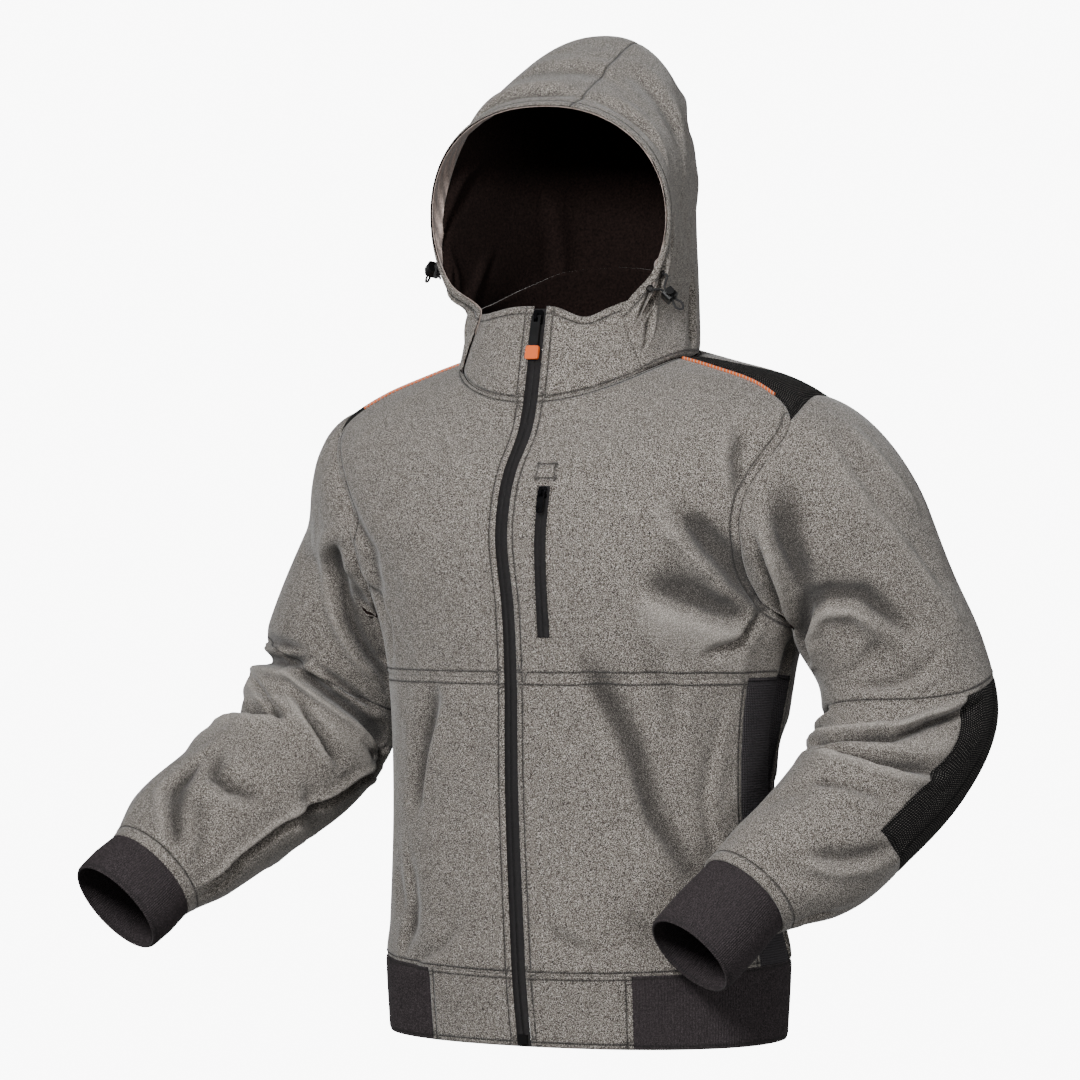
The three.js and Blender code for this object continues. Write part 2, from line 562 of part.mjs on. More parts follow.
// Body pieces. The columns of the right half count back from 40.
const onSide = { left: (i) => i, right: (i) => 2 * HALF - 1 - i };
for (const name of ["left", "right"]) {
  const col = onSide[name];
  const mine = (i) => (name === "left" ? i < HALF : i >= HALF);
  add(`front_lower_${name}`, wall(bodyGrid, (i, j) =>
    mine(i) && col(i) < FRONT && j >= HEM_ROW && j < CROSS_ROW), "softshell");
  add(`front_upper_${name}`, wall(bodyGrid, (i, j) => mine(i) && j >= CROSS_ROW
    && (col(i) < FRONT || (col(i) < 10 && j < PIT_ROW))), "softshell");
  add(`side_panel_${name}`, wall(bodyGrid, (i, j) =>
    mine(i) && col(i) >= FRONT && col(i) < SIDE && j >= HEM_ROW && j < CROSS_ROW), "coarse");
  add(`shoulder_yoke_${name}`, wall(bodyGrid, (i, j) =>
    mine(i) && col(i) >= FRONT && col(i) < SIDE && j >= TIP_ROW), "coarse");
  add(`hem_patch_${name}`, wall(bodyGrid, (i, j) => mine(i) && col(i) < 3 && j < HEM_ROW), "softshell");
  const edge = name === "left" ? FRONT : 2 * HALF - FRONT;
  const across = name === "left" ? 1 : -1;
  const strip = grid(1, 3, (i, j) => {
    const [row, back] = [j + 21, j === 3 ? 0.15 : 0];
    const [a, b] = [bodyGrid.P[edge + across][row], bodyGrid.P[edge - across][row]];
    const way = a.clone().sub(b).setLength(3.2 * (i - 0.5) * across);
    return bodyGrid.P[edge][row].clone().lerp(bodyGrid.P[edge][row - 1], back).add(way);
  });
  add(`yoke_piping_${name}`, wall(strip, () => true, { out: 1.6, thick: 1.1, inset: 0 }), "piping");
}
add("back_panel", wall(bodyGrid, (i, j) => {
  const k = Math.min(i, 2 * HALF - 1 - i);
  return j >= HEM_ROW && (k >= SIDE || (k >= 10 && j >= CROSS_ROW && j < PIT_ROW));
}), "softshell");
add("hem_rib", wall(bodyGrid, (i, j) => {
  const k = Math.min(i, 2 * HALF - 1 - i);
  return k >= 3 && j < HEM_ROW;
}, { thick: RIB }), "rib");

for (const [name, side] of [["left", 1], ["right", -1]]) {
  const G = sleeves[name];
  const arm = ARMS[side];
  const patched = (t, j) => (t >= 18 || t < 2) && j >= ELBOW && j < PATCH_END;
  add(`sleeve_upper_${name}`, wall(G, (t, j) => j < ELBOW), "softshell");
  add(`sleeve_lower_${name}`, wall(G, (t, j) => j >= ELBOW && !patched(t, j)), "softshell");
  add(`elbow_patch_${name}`, wall(G, patched), "coarse");
  const cuffAt = [-7, 3, arm.cuffLength / 2, arm.cuffLength - 3, arm.cuffLength];
  const cuffOut = [0, 0, 1.8, 0.8, 0];
  const cuff = grid(RING, 4, (t, j) => armRing(side, t, cuffAt[j], arm.cuff + cuffOut[j]),
    { closed: true, flip: side });
  add(`cuff_${name}`, wall(cuff, () => true, { thick: RIB, inset: 0 }), "rib");
}

add("collar", wall(collarGrid, () => true, { thick: COLLAR_CLOTH }), "softshell");

const hoodGrid = grid(HOOD_CELLS, HOOD_ROWS.length - 1, (i, j) =>
  hood(-1 + (2 * i) / HOOD_CELLS, HOOD_ROWS[j]));
add("hood_right", wall(hoodGrid, (i) => i < HOOD_CELLS / 2), "softshell");
add("hood_left", wall(hoodGrid, (i) => i >= HOOD_CELLS / 2), "softshell");
add("hood_facing", wall(hoodGrid, (i, j) => j < 2,
  { out: -CLOTH - 0.6, thick: FACING, inset: 0.5 }), "facing");

// Main zip: the tape fills the gap between the fronts from the hem to the collar's top
const zipRows = ROWS.length + COLLAR_ROWS.length - 2;
const zipGrid = grid(2, zipRows, (i, j) => {
  const phi = (i - 1) * 0.98 * edgeAngle(ROWS[Math.min(j, NECK_ROW)]);
  return j > NECK_ROW ? collar(phi, Math.min(0.97, COLLAR_ROWS[j - NECK_ROW])) : body(phi, ROWS[j]);
});
add("zip_tape", wall(zipGrid, () => true, { out: -0.4, thick: 1.2, inset: 0.1 }), "tape");

// Sliders: a plate on the tape, and a bridge with an eye that the pull's top bar turns in.
// They are drawn with x to the right of the picture, y up and z outwards.
const PLATE = 1.6;
const BAR = 4.8;              // height of the pull's axis over the slider's underside
const EYE = 1.7;              // half the eye's clear width
const TAB = 1.6;              // thickness of a pull

function bridge(wide) {
  const shape = outline([[-3.2, PLATE + 0.3], [3.2, PLATE + 0.3], [3.2, BAR + 2.9], [-3.2, BAR + 2.9]]);
  const eye = [[-EYE, BAR - EYE], [-EYE, BAR + EYE], [EYE, BAR + EYE], [EYE, BAR - EYE]];
  shape.holes.push(new THREE.Path(eye.map(([x, y]) => new THREE.Vector2(x, y))));
  const geometry = slab(shape, wide, -wide / 2);
  return geometry.applyMatrix4(new THREE.Matrix4().makeBasis(vec(0, 1, 0), vec(0, 0, 1), vec(1, 0, 0)));
}

// A pull hanging from its bar at y 0; hole is the radius of the eye at its lower end
function pull(wide, length, gap, hole) {
  const shape = outline([[-wide / 2, 0.85], [-wide / 2, -length + 1.5], [-wide / 2 + 1.5, -length],
    [wide / 2 - 1.5, -length], [wide / 2, -length + 1.5], [wide / 2, 0.85]]);
  const window = [[-gap, -0.85], [gap, -0.85], [gap, -6], [-gap, -6]];
  shape.holes.push(new THREE.Path(window.map(([x, y]) => new THREE.Vector2(x, y))));
  if (hole > 0) {
    const eye = new THREE.Path();
    eye.absarc(0, -length + hole + 1.4, hole, 0, 2 * Math.PI);
    shape.holes.push(eye);
  }
  return slab(shape, TAB, BAR - TAB / 2);
}

const zipTop = (() => {
  const up = collar(0, 0.97).sub(collar(0, 0.75)).normalize();
  const p = collar(0, 0.87);
  const right = vec(1, 0, 0);
  return { p, right, up, out: right.clone().cross(up).normalize() };
})();
const inZipTop = (geometry) =>
  placed(geometry, zipTop.p.clone().addScaledVector(zipTop.out, 0.2), zipTop.right, zipTop.up);
add("zip_slider", inZipTop(slab(rounded(11, 15, 3), PLATE)), "metal");
add("zip_slider_bridge", inZipTop(bridge(3)), "metal");
add("zip_pull", inZipTop(pull(9.6, 30, 2.4, 0)), "plastic");
add("zip_pull_tip", inZipTop(slab(rounded(14, 13.5, 2), 3.2, BAR - 1.6).translate(0, -37.05, 0)), "orange");

const zipFoot = frontFrame(track(BODY, "shift", 0.02), -664);
add("zip_bottom_stop", placed(slab(rounded(9.5, 9, 1), 2.6),
  zipFoot.p.clone().addScaledVector(zipFoot.out, 0.3), zipFoot.right, zipFoot.up), "plastic");

// Chest pocket on the wearer's left
const POCKET = { x: 37, top: -128, low: -274, wide: 12 };
const pocketGrid = grid(1, 5, (i, j) =>
  onFront(POCKET.x + (i - 0.5) * POCKET.wide, mix(POCKET.low, POCKET.top, j / 5)));
add("pocket_zip", wall(pocketGrid, () => true, { out: 1.7, thick: 0.9, inset: 0 }), "tape");
const weltGrid = grid(1, 1, (i, j) => onFront(26 + 22 * i, mix(-123, -105, j)));
add("pocket_welt", wall(weltGrid, () => true, { out: 2.1, thick: 1.2, inset: 0 }), "softshell");
const pocketTop = frontFrame(POCKET.x, POCKET.top - 7);
const inPocketTop = (geometry) =>
  placed(geometry, pocketTop.p.clone().addScaledVector(pocketTop.out, 2.2), pocketTop.right, pocketTop.up);
add("pocket_slider", inPocketTop(slab(rounded(8.5, 11.5, 2), PLATE)), "metal");
add("pocket_slider_bridge", inPocketTop(bridge(2.4)), "metal");
add("pocket_pull", inPocketTop(pull(7.2, 21, 2.1, 1.7)), "metal");

// Hood cord: out of one eyelet, through a lock, round and back into a second eyelet
const CORD = 1.2;             // radius
for (const [name, side] of [["left", 1], ["right", -1]]) {
  const at = (u, w) => {
    const p = hood(side * u, w);
    const du = hood(side * u + 0.01, w).sub(hood(side * u - 0.01, w));
    const dw = hood(side * u, w + 0.01).sub(hood(side * u, w - 0.01));
    return { p, n: du.cross(dw).normalize() };
  };
  const [first, second] = [at(0.84, 0.13), at(0.76, 0.27)];
  const middle = first.p.clone().add(second.p).multiplyScalar(0.5);
  const ahead = first.n.clone().multiplyScalar(14).add(vec(0, 12, -5)).normalize();
  const lock = middle.clone().addScaledVector(ahead, 20);
  const wide = second.p.clone().sub(first.p);
  wide.addScaledVector(ahead, -wide.dot(ahead)).normalize();
  const upright = ahead.clone().cross(wide).normalize();
  for (const [k, e] of [["front", first], ["rear", second]]) {
    const torus = new THREE.TorusGeometry(3.1, 0.9, 6, 14);
    const right = e.n.clone().cross(vec(0.2, 0.1, 1)).normalize();
    add(`eyelet_${k}_${name}`, placed(torus, e.p.clone().addScaledVector(e.n, 1.6), right,
      e.n.clone().cross(right)), "metal");
  }
  const barrel = rounded(13, 15, 4);
  barrel.holes.push(new THREE.Path(rounded(7.8, 3.6, 1.7).getPoints(4).reverse()));
  add(`cord_lock_${name}`, placed(slab(barrel, 10, -5), lock, wide, upright), "plastic");
  add(`cord_lock_button_${name}`, placed(new THREE.CylinderGeometry(3.8, 3.8, 5, 14),
    lock.clone().addScaledVector(upright, 10.4), wide, upright), "plastic");
  const strand = (k, d, spread) =>
    lock.clone().addScaledVector(ahead, d).addScaledVector(wide, k * spread);
  const knots = [first.p.clone().addScaledVector(first.n, 0.9), first.p.clone().addScaledVector(first.n, 6),
    strand(-1, -9, 1.9), strand(-1, 0, 1.75), strand(-1, 7, 1.9), strand(-1, 14, 4), strand(0, 19, 0),
    strand(1, 14, 4), strand(1, 7, 1.9), strand(1, 0, 1.75), strand(1, -9, 1.9),
    second.p.clone().addScaledVector(second.n, 6), second.p.clone().addScaledVector(second.n, 0.9)];
  const curve = new THREE.CatmullRomCurve3(knots, false, "centripetal");
  add(`hood_cord_${name}`, sweep(curve.getSpacedPoints(34), CORD, 6), "plastic");
}

export default jacket;
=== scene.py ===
# %% [markdown]
# # A hooded softshell jacket
# The jacket keeps the shape that it has when worn, with its hood up and nobody in it. The
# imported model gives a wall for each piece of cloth. This lesson lays a finer cloth on each of
# those walls, with its creases, seams and stitching, and then gives every piece its finish.
# Lengths in the code are in millimetres until a mesh is made, because a tailor thinks in them.

import json
import math

import bpy
import numpy as np
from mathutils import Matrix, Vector
from mathutils.kdtree import KDTree

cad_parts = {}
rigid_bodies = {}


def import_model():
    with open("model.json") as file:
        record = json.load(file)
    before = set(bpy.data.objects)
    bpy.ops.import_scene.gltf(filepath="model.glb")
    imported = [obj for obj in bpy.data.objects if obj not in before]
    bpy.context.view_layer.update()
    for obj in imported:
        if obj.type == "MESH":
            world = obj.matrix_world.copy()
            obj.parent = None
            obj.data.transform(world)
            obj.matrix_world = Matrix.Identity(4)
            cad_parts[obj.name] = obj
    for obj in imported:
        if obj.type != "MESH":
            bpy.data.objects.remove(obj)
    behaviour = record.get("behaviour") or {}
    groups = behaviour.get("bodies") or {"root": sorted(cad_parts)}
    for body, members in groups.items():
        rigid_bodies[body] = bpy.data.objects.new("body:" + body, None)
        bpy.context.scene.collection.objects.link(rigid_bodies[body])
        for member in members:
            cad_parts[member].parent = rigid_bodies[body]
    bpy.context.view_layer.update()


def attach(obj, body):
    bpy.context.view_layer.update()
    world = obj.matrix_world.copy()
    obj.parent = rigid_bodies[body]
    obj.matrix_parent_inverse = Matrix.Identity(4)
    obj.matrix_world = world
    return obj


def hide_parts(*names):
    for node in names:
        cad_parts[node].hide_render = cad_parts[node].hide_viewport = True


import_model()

# %% [markdown]
# ## Tables that a garment follows
# A garment has few numbers that matter: how wide and deep it is at some heights, and where its
# seams run. They stand in small tables with named columns. A smooth track through a column gives
# the value at any place between two rows, so a few rows make a whole smooth form.

# %% Tables and tracks
def table(columns, *rows):
    return [dict(zip(columns.split(), row)) for row in rows]


def track(rows, key, at):
    x = np.array([row["at"] for row in rows], float)
    y = np.array([row[key] for row in rows], float)
    slope = np.gradient(y, x)
    slope[1:-1] = (y[2:] - y[:-2]) / (x[2:] - x[:-2])
    at = np.clip(np.asarray(at, float), x[0], x[-1])
    i = np.clip(np.searchsorted(x, at, side="right") - 1, 0, len(x) - 2)
    h = x[i + 1] - x[i]
    u = (at - x[i]) / h
    return (
        (2 * u**3 - 3 * u**2 + 1) * y[i]
        + (u**3 - 2 * u**2 + u) * h * slope[i]
        + (3 * u**2 - 2 * u**3) * y[i + 1]
        + (u**3 - u**2) * h * slope[i + 1]
    )


def power(c, e):
    return np.sign(c) * np.abs(c) ** e


def unit(v):
    return v / np.maximum(np.linalg.norm(v, axis=-1, keepdims=True), 1e-9)


def xyz(*parts):
    return np.stack(np.broadcast_arrays(*[np.asarray(p, float) for p in parts]), -1)


CLOTH, RIB, COLLAR_CLOTH, FACING, SEAM = 2.0, 2.6, 3.6, 1.0, 0.06
ZIP_HALF, SQUARENESS = 7.6, 2.15
BODY = table(
    "at z width front back drop rise shift tilt",
    (0.00, -672, 206, 143, 142, 0, 0, 7, 0),
    (0.10, -594, 209, 150, 148, 8, 0, 7, 0),
    (0.16, -560, 204, 150, 146, 4, 0, 6, 0),
    (0.35, -432, 197, 150, 140, 0, 0, 3, 0),
    (0.52, -314, 208, 156, 146, 0, 0, 9, 0),
    (0.62, -243, 228, 166, 152, 0, 0, 13, 0),
    (0.70, -178, 264, 170, 152, 3, 2, 10, 0),
    (0.76, -125, 280, 162, 146, 12, 6, 8, 1),
    (0.81, -86, 279, 154, 138, 24, 10, 8, 3),
    (0.855, -52, 262, 143, 130, 40, 14, 7, 4),
    (0.90, -26, 219, 132, 122, 50, 18, 5, 4),
    (0.95, -9, 161, 122, 114, 48, 20, 2, 2),
    (1.00, 2, 116, 116, 106, 44, 22, 0, 0),
)
LONG_SEAMS = table(
    "at front back",
    (0.00, 78, 104), (0.16, 77, 104), (0.35, 75, 104), (0.52, 71, 104), (0.60, 74, 107),
    (0.62, 70, 113), (0.65, 61, 119), (0.68, 54.5, 123), (0.72, 50, 125), (0.76, 50.5, 124),
    (0.80, 56, 121), (0.845, 66, 116), (0.90, 72, 110), (0.95, 77, 106), (1.00, 82, 104),
)
print("body", len(BODY), "rings, chest half width", max(row["width"] for row in BODY), "mm")

# %% [markdown]
# ## Creases
# Thick bonded cloth doesn't wrinkle like a shirt. It makes a few long soft troughs that start at
# the armholes, elbows and cuffs, often with a fuller roll along one side. Each one here is a
# line over the cloth, with a depth, a width, and a lip that says how high the roll beside it is.
# A cloth simulation would make creases too, but not these ones, so they are listed one by one.

# %% The height of the cloth over its plain form
CREASE_REACH = 3.4                        # widths beyond which a crease is nothing
STEEP_SIDE, SLACK_SIDE = 1.55, 0.8        # how sharply a fine trough falls on its two sides
ROLL_AT, ROLL_WIDE = 1.45, 0.85           # the roll beside it, in widths of the trough
DEEPEST, TALLEST = 17, 13                 # where creases that cross level out
FINE_DEPTH = 2.3


def crease_heights(creases, scale, u, w):
    flat = np.stack([u * scale[0], w * scale[1]], -1).reshape(-1, 2)
    total = np.zeros(len(flat))
    for crease in creases:
        line = np.array(crease["line"], float) * scale
        wide, lip = crease["wide"], crease.get("lip", 0)
        reach = CREASE_REACH * wide
        inside = ((flat > line.min(0) - reach) & (flat < line.max(0) + reach)).all(1)
        p = flat[inside]
        best, side, along = np.full(len(p), 1e9), np.ones(len(p)), np.zeros(len(p))
        lengths = np.linalg.norm(np.diff(line, axis=0), axis=1)
        done = 0.0
        for a, b, length in zip(line[:-1], line[1:], lengths):
            d = b - a
            q = np.clip(((p - a) @ d) / (d @ d), 0, 1)
            rest = p - a - q[:, None] * d
            far = np.linalg.norm(rest, axis=1)
            nearer = far < best
            best = np.where(nearer, far, best)
            side = np.where(nearer, np.sign(d[0] * rest[:, 1] - d[1] * rest[:, 0]), side)
            along = np.where(nearer, (done + q * length) / lengths.sum(), along)
            done += length
        x = best * side / wide
        taper = np.ones(len(p))
        if crease.get("fade", 0):
            ends = np.minimum(along, 1 - along) / crease["fade"]
            taper = np.clip(ends + 0.15, 0, 1) ** 0.7
        x = x * np.sign(lip) if lip else x
        steep = np.where(x > 0, STEEP_SIDE, SLACK_SIDE) if crease.get("fine") else 1.0
        roll = np.exp(-(((x - ROLL_AT) / ROLL_WIDE) ** 2))
        form = np.exp(-((steep * x) ** 2)) - abs(lip) * roll
        total[inside] += crease["depth"] * form * taper
    troughs, rolls = -DEEPEST * np.tanh(-total / DEEPEST), TALLEST * np.tanh(total / TALLEST)
    return np.where(total < 0, troughs, rolls).reshape(np.shape(u))


def around(creases, scale, u, w, period):
    """Crease heights on a form that closes on itself."""
    return sum(crease_heights(creases, scale, u + k * period, w) for k in (-1, 0, 1))


def broad(line, depth, wide):
    return {"line": line, "depth": depth, "wide": wide}


def fine(line, depth, wide, lip=0.0, fade=0.3):
    return {**broad(line, FINE_DEPTH * depth, wide), "lip": lip, "fade": fade, "fine": True}


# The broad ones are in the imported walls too, the fine ones are this cloth's own
BODY_BROAD = [
    broad([[38, -190], [54, -222], [70, -246]], -9, 20),
    broad([[34, -262], [50, -282], [66, -300]], 4, 16),
    broad([[21, -324], [32, -382], [40, -449], [55, -508]], -6, 18),
    broad([[-30, -338], [-36, -387], [-39, -437]], -5, 17),
    broad([[94, -290], [95, -360], [100, -420]], -10, 16),
    broad([[120, -280], [114, -350]], 7, 22),
    broad([[-96, -300], [-94, -370]], -8, 18),
    broad([[148, -150], [138, -230], [141, -330]], -6, 20),
    broad([[-151, -170], [-139, -260], [-146, -350]], -6, 20),
    broad([[176, -390], [160, -470], [150, -530]], -5, 18),
    broad([[-42, -560], [-52, -520]], -4, 16),
]
BODY_FINE = [
    fine([[35, -154], [44, -187], [56, -218], [70, -240]], -9.5, 11, -0.55, 0.25),
    fine([[30, -222], [40, -234], [52, -247], [66, -255]], -7.5, 13, -0.5),
    fine([[52, -287], [62, -279], [71, -255]], -4.0, 7, 0.3),
    fine([[50, -70], [46, -101], [48, -137]], -4.2, 7, -0.35),
    fine([[30, -280], [42, -322], [46, -380]], -2.4, 13, 0.3),
    fine([[10, -277], [21, -324], [32, -382], [40, -449], [51, -499]], -3.0, 14, -0.35, 0.3),
    fine([[6, -556], [19, -578]], -2.2, 9, 0.3),
    fine([[26, -530], [36, -560], [40, -590]], -2.0, 11, 0.3),
    fine([[54, -520], [58, -560], [60, -592]], -2.4, 10, 0.3),
    fine([[-28, -334], [-35, -387], [-40, -445]], -3.0, 11, 0.35),
    fine([[-18, -558], [-28, -583], [-40, -600]], -2.4, 8, 0.35),
    fine([[-44, -490], [-40, -540], [-46, -592]], -2.6, 11, -0.3),
    fine([[-52, -130], [-44, -190], [-56, -250]], -3.4, 11, -0.3),
    fine([[-60, -215], [-50, -262], [-54, -300]], -2.6, 10, 0.3),
    fine([[-10, -350], [-14, -420]], -1.4, 12, 0.2),
    fine([[62, -345], [58, -430], [64, -520]], -2.0, 11, 0.3),
    fine([[122, -140], [112, -200], [104, -262]], -5.0, 11, 0.4),
    fine([[140, -110], [128, -180], [126, -250]], -3.2, 13, 0.35),
    fine([[-124, -150], [-112, -205], [-106, -268]], -5.0, 11, -0.4),
    fine([[-146, -100], [-132, -180], [-122, -262]], -3.0, 14, -0.3),
    fine([[112, -420], [132, -450], [158, -462]], -3.4, 12, 0.35),
    fine([[106, -500], [128, -528], [152, -560], [168, -588]], -3.0, 12, 0.35),
    fine([[-112, -430], [-136, -462], [-160, -470]], -3.6, 13, -0.35),
    fine([[-120, -520], [-134, -556], [-138, -590]], -2.8, 11, 0.35),
    fine([[170, -300], [150, -330], [128, -340]], -2.4, 14, 0.3),
    fine([[-172, -250], [-158, -300], [-150, -350]], -2.6, 13, 0.3),
    fine([[-96, -520], [-98, -560], [-96, -594]], -2.0, 9, 0.3),
    fine([[100, -540], [104, -570], [102, -594]], -2.0, 9, 0.3),
    fine([[176, -540], [172, -570], [174, -594]], -1.8, 10, 0.3),
    fine([[-160, -545], [-164, -575], [-162, -594]], -1.8, 10, 0.3),
]
BODY_SPAN = 3.6        # millimetres of cloth to a degree round the body
print(len(BODY_BROAD), "broad and", len(BODY_FINE), "fine creases on the body")

# %% [markdown]
# ## The body's form
# The body is a stack of level rings, a little squarer than ellipses. An angle round the body and
# a height from 0 at the hem to 1 at the neck give one place on it. The cut of the panels runs on
# a net of columns and rows over that form: a column is an angle that follows the long seams, so
# a seam is always a line of the net, and two panels that share it meet exactly.

# %% Body
def body_form(phi, v):
    s, c = np.sin(np.radians(phi)), np.cos(np.radians(phi))
    e = 2 / SQUARENESS
    at = {key: track(BODY, key, v) for key in BODY[0] if key != "at"}
    depth = np.where(c > 0, at["front"], at["back"])
    fall = np.where(c > 0, at["drop"], -at["rise"])
    return xyz(
        at["shift"] + at["width"] * power(s, e),
        -depth * power(c, e),
        at["z"] - fall * np.abs(c) ** 1.6 + at["tilt"] * s,
    )


def body_creases(phi, z):
    near = (np.asarray(phi, float) + 180) % 360 - 180
    return around(BODY_BROAD + BODY_FINE, (BODY_SPAN, 1), near, z, 360)


def body(phi, v):
    p = body_form(phi, v)
    across = body_form(phi + 0.6, v) - body_form(phi - 0.6, v)
    up = body_form(phi, np.minimum(1, v + 0.004)) - body_form(phi, np.maximum(0, v - 0.004))
    n = unit(np.cross(across, up))
    return p + n * body_creases(phi, p[..., 2])[..., None]


FRONT, UNDER_ARM, SIDE, HALF = 8, 10, 12, 20    # columns at the seams, from the zip to the back
ALL_ROUND = 2 * HALF
V_PIT, V_TIP = 0.62, 0.845
ROWS = [0, 0.05, 0.1, 0.16, 0.22, 0.28, 0.34, 0.4, 0.46, 0.52, 0.555, 0.59]
ROWS += [V_PIT + (V_TIP - V_PIT) * k / 8 for k in range(9)] + [0.8825, 0.92, 0.96, 1]
HEM, CROSS, PIT, TIP, NECK = 2, 9, 12, 20, 24   # rows at the seams

# How far the zip wanders to the wearer's right of the middle, in degrees round the body
SWAY = table("at turn", (0, 0), (0.08, -0.6), (0.35, -1.6), (0.55, -2.6), (0.7, -2.7), (0.85, -1.3),
             (1, 0))


def swayed(phi, v):
    return phi + track(SWAY, "turn", v) * np.exp(-((phi / 26) ** 2))


def edge_angle(v):
    return np.degrees(np.arcsin((ZIP_HALF / track(BODY, "width", v)) ** (SQUARENESS / 2)))


def body_angles(column, row):
    column, row = np.broadcast_arrays(np.asarray(column, float), np.asarray(row, float))
    side = np.where(column <= HALF, 1, -1)
    k = np.where(column <= HALF, column, 2 * HALF - column)
    v = np.interp(row, range(len(ROWS)), ROWS)
    front, back = track(LONG_SEAMS, "front", v), track(LONG_SEAMS, "back", v)
    edge = edge_angle(v)
    phi = np.where(k <= FRONT, edge + (front - edge) * k / FRONT, 0)
    phi = np.where(k > FRONT, front + (back - front) * (k - FRONT) / 4, phi)
    phi = np.where(k > SIDE, back + (180 - back) * (k - SIDE) / 8, phi)
    bow = np.where((k > FRONT) & (k < SIDE), 1 - ((k - 10) / 2) ** 2, 0)
    rise = np.interp(row, [19, 20, 21, 22, 23, 24], [0, 1, 0.6, 0.3, 0.1, 0])
    dip = np.interp(row, [9, 10, 11, 12, 13], [0, 0.2, 0.55, 1, 0])
    return swayed(side * phi, v), v + bow * (0.025 * rise - 0.02 * dip)


def on_body(column, row):
    return body(*body_angles(column, row))


print("hem", np.round(on_body(10, 0)), "shoulder", np.round(on_body(10, 20)))

# %% [markdown]
# ## A net of points and the cloth that hangs on it
# A net is a grid of points with an outward direction at each. A piece of cloth is a set of the
# net's cells. It becomes a closed shell: an outer face, an inner face, and a rim between them
# that is rolled over a little, so that a seam reads as a soft groove and not as a knife cut.
# Every point also keeps where it is on the cloth, along and across, and how far it is from
# the nearest stitched edge. The finishes use that, and no picture has to be wrapped on.

# %% Nets
def places(cells, between, seams=(), near=(0.04, 0.09)):
    """Net lines: so many to a cell, more where a list says so, and extra ones beside seams."""
    counts = between if hasattr(between, "__len__") else [between] * cells
    at = [k + i / counts[k] for k in range(cells) for i in range(counts[k])] + [cells]
    for seam in seams:
        at += [seam + d for n in near for d in (-n, n) if 0 < seam + d < cells]
    at = np.unique(np.round(at, 5))
    keep = [0]
    for k in range(1, len(at)):
        if at[k] - at[keep[-1]] > 0.012 or at[k] == round(at[k]):
            keep.append(k)
    return at[keep]


def net(columns, rows, place, closed=False, flip=1):
    c, r = np.meshgrid(columns, rows, indexing="ij")
    p = place(c, r)
    if closed:
        p[-1] = p[0]
    face = np.cross(p[1:, 1:] - p[:-1, :-1], p[:-1, 1:] - p[1:, :-1]) * flip
    n = np.zeros_like(p)
    n[:-1, :-1] += face
    n[1:, :-1] += face
    n[:-1, 1:] += face
    n[1:, 1:] += face
    if closed:
        n[0] += n[-1]
        n[-1] = n[0]
    return {"c": columns, "r": rows, "P": p, "N": unit(n), "closed": closed, "flip": flip,
            "fold": np.zeros(c.shape)}


def look_up(grid, c, r, what="P"):
    """A value of the net between its lines."""
    c, r = np.broadcast_arrays(np.asarray(c, float), np.asarray(r, float))
    i = np.clip(np.searchsorted(grid["c"], c, side="right") - 1, 0, len(grid["c"]) - 2)
    j = np.clip(np.searchsorted(grid["r"], r, side="right") - 1, 0, len(grid["r"]) - 2)
    a = ((c - grid["c"][i]) / (grid["c"][i + 1] - grid["c"][i]))[..., None]
    b = ((r - grid["r"][j]) / (grid["r"][j + 1] - grid["r"][j]))[..., None]
    v = grid[what]
    low = v[i, j] * (1 - a) + v[i + 1, j] * a
    high = v[i, j + 1] * (1 - a) + v[i + 1, j + 1] * a
    return low * (1 - b) + high * b


shells, measured = {}, {}


def placed(name, data):
    piece = bpy.data.objects.new(name, data)
    bpy.context.scene.collection.objects.link(piece)
    return piece


def mesh_object(name, points, faces, finishes, face_finish, cloth_place, fold):
    mesh = bpy.data.meshes.new(name)
    mesh.from_pydata((np.asarray(points) / 1000).tolist(), [], [list(f) for f in faces])
    for finish in finishes:
        mesh.materials.append(finish)
    mesh.polygons.foreach_set("material_index", np.asarray(face_finish, np.int32))
    mesh.polygons.foreach_set("use_smooth", np.ones(len(mesh.polygons), bool))
    layer = mesh.attributes.new("cloth", "FLOAT_VECTOR", "POINT")
    layer.data.foreach_set("vector", np.asarray(cloth_place, np.float32).ravel() / 1000)
    # the crease height; the softshell finish paints shade into its troughs and a highlight onto its rolls
    # from it
    layer = mesh.attributes.new("fold", "FLOAT", "POINT")
    layer.data.foreach_set("value", np.asarray(fold, np.float32) / 1000)
    mesh.update()
    return placed(name, mesh)


def lengths_along(p, axis):
    step = np.linalg.norm(np.diff(p, axis=axis), axis=-1)
    pad = [(0, 0), (0, 0)]
    pad[axis] = (1, 0)
    return np.pad(np.cumsum(step, axis=axis), pad)


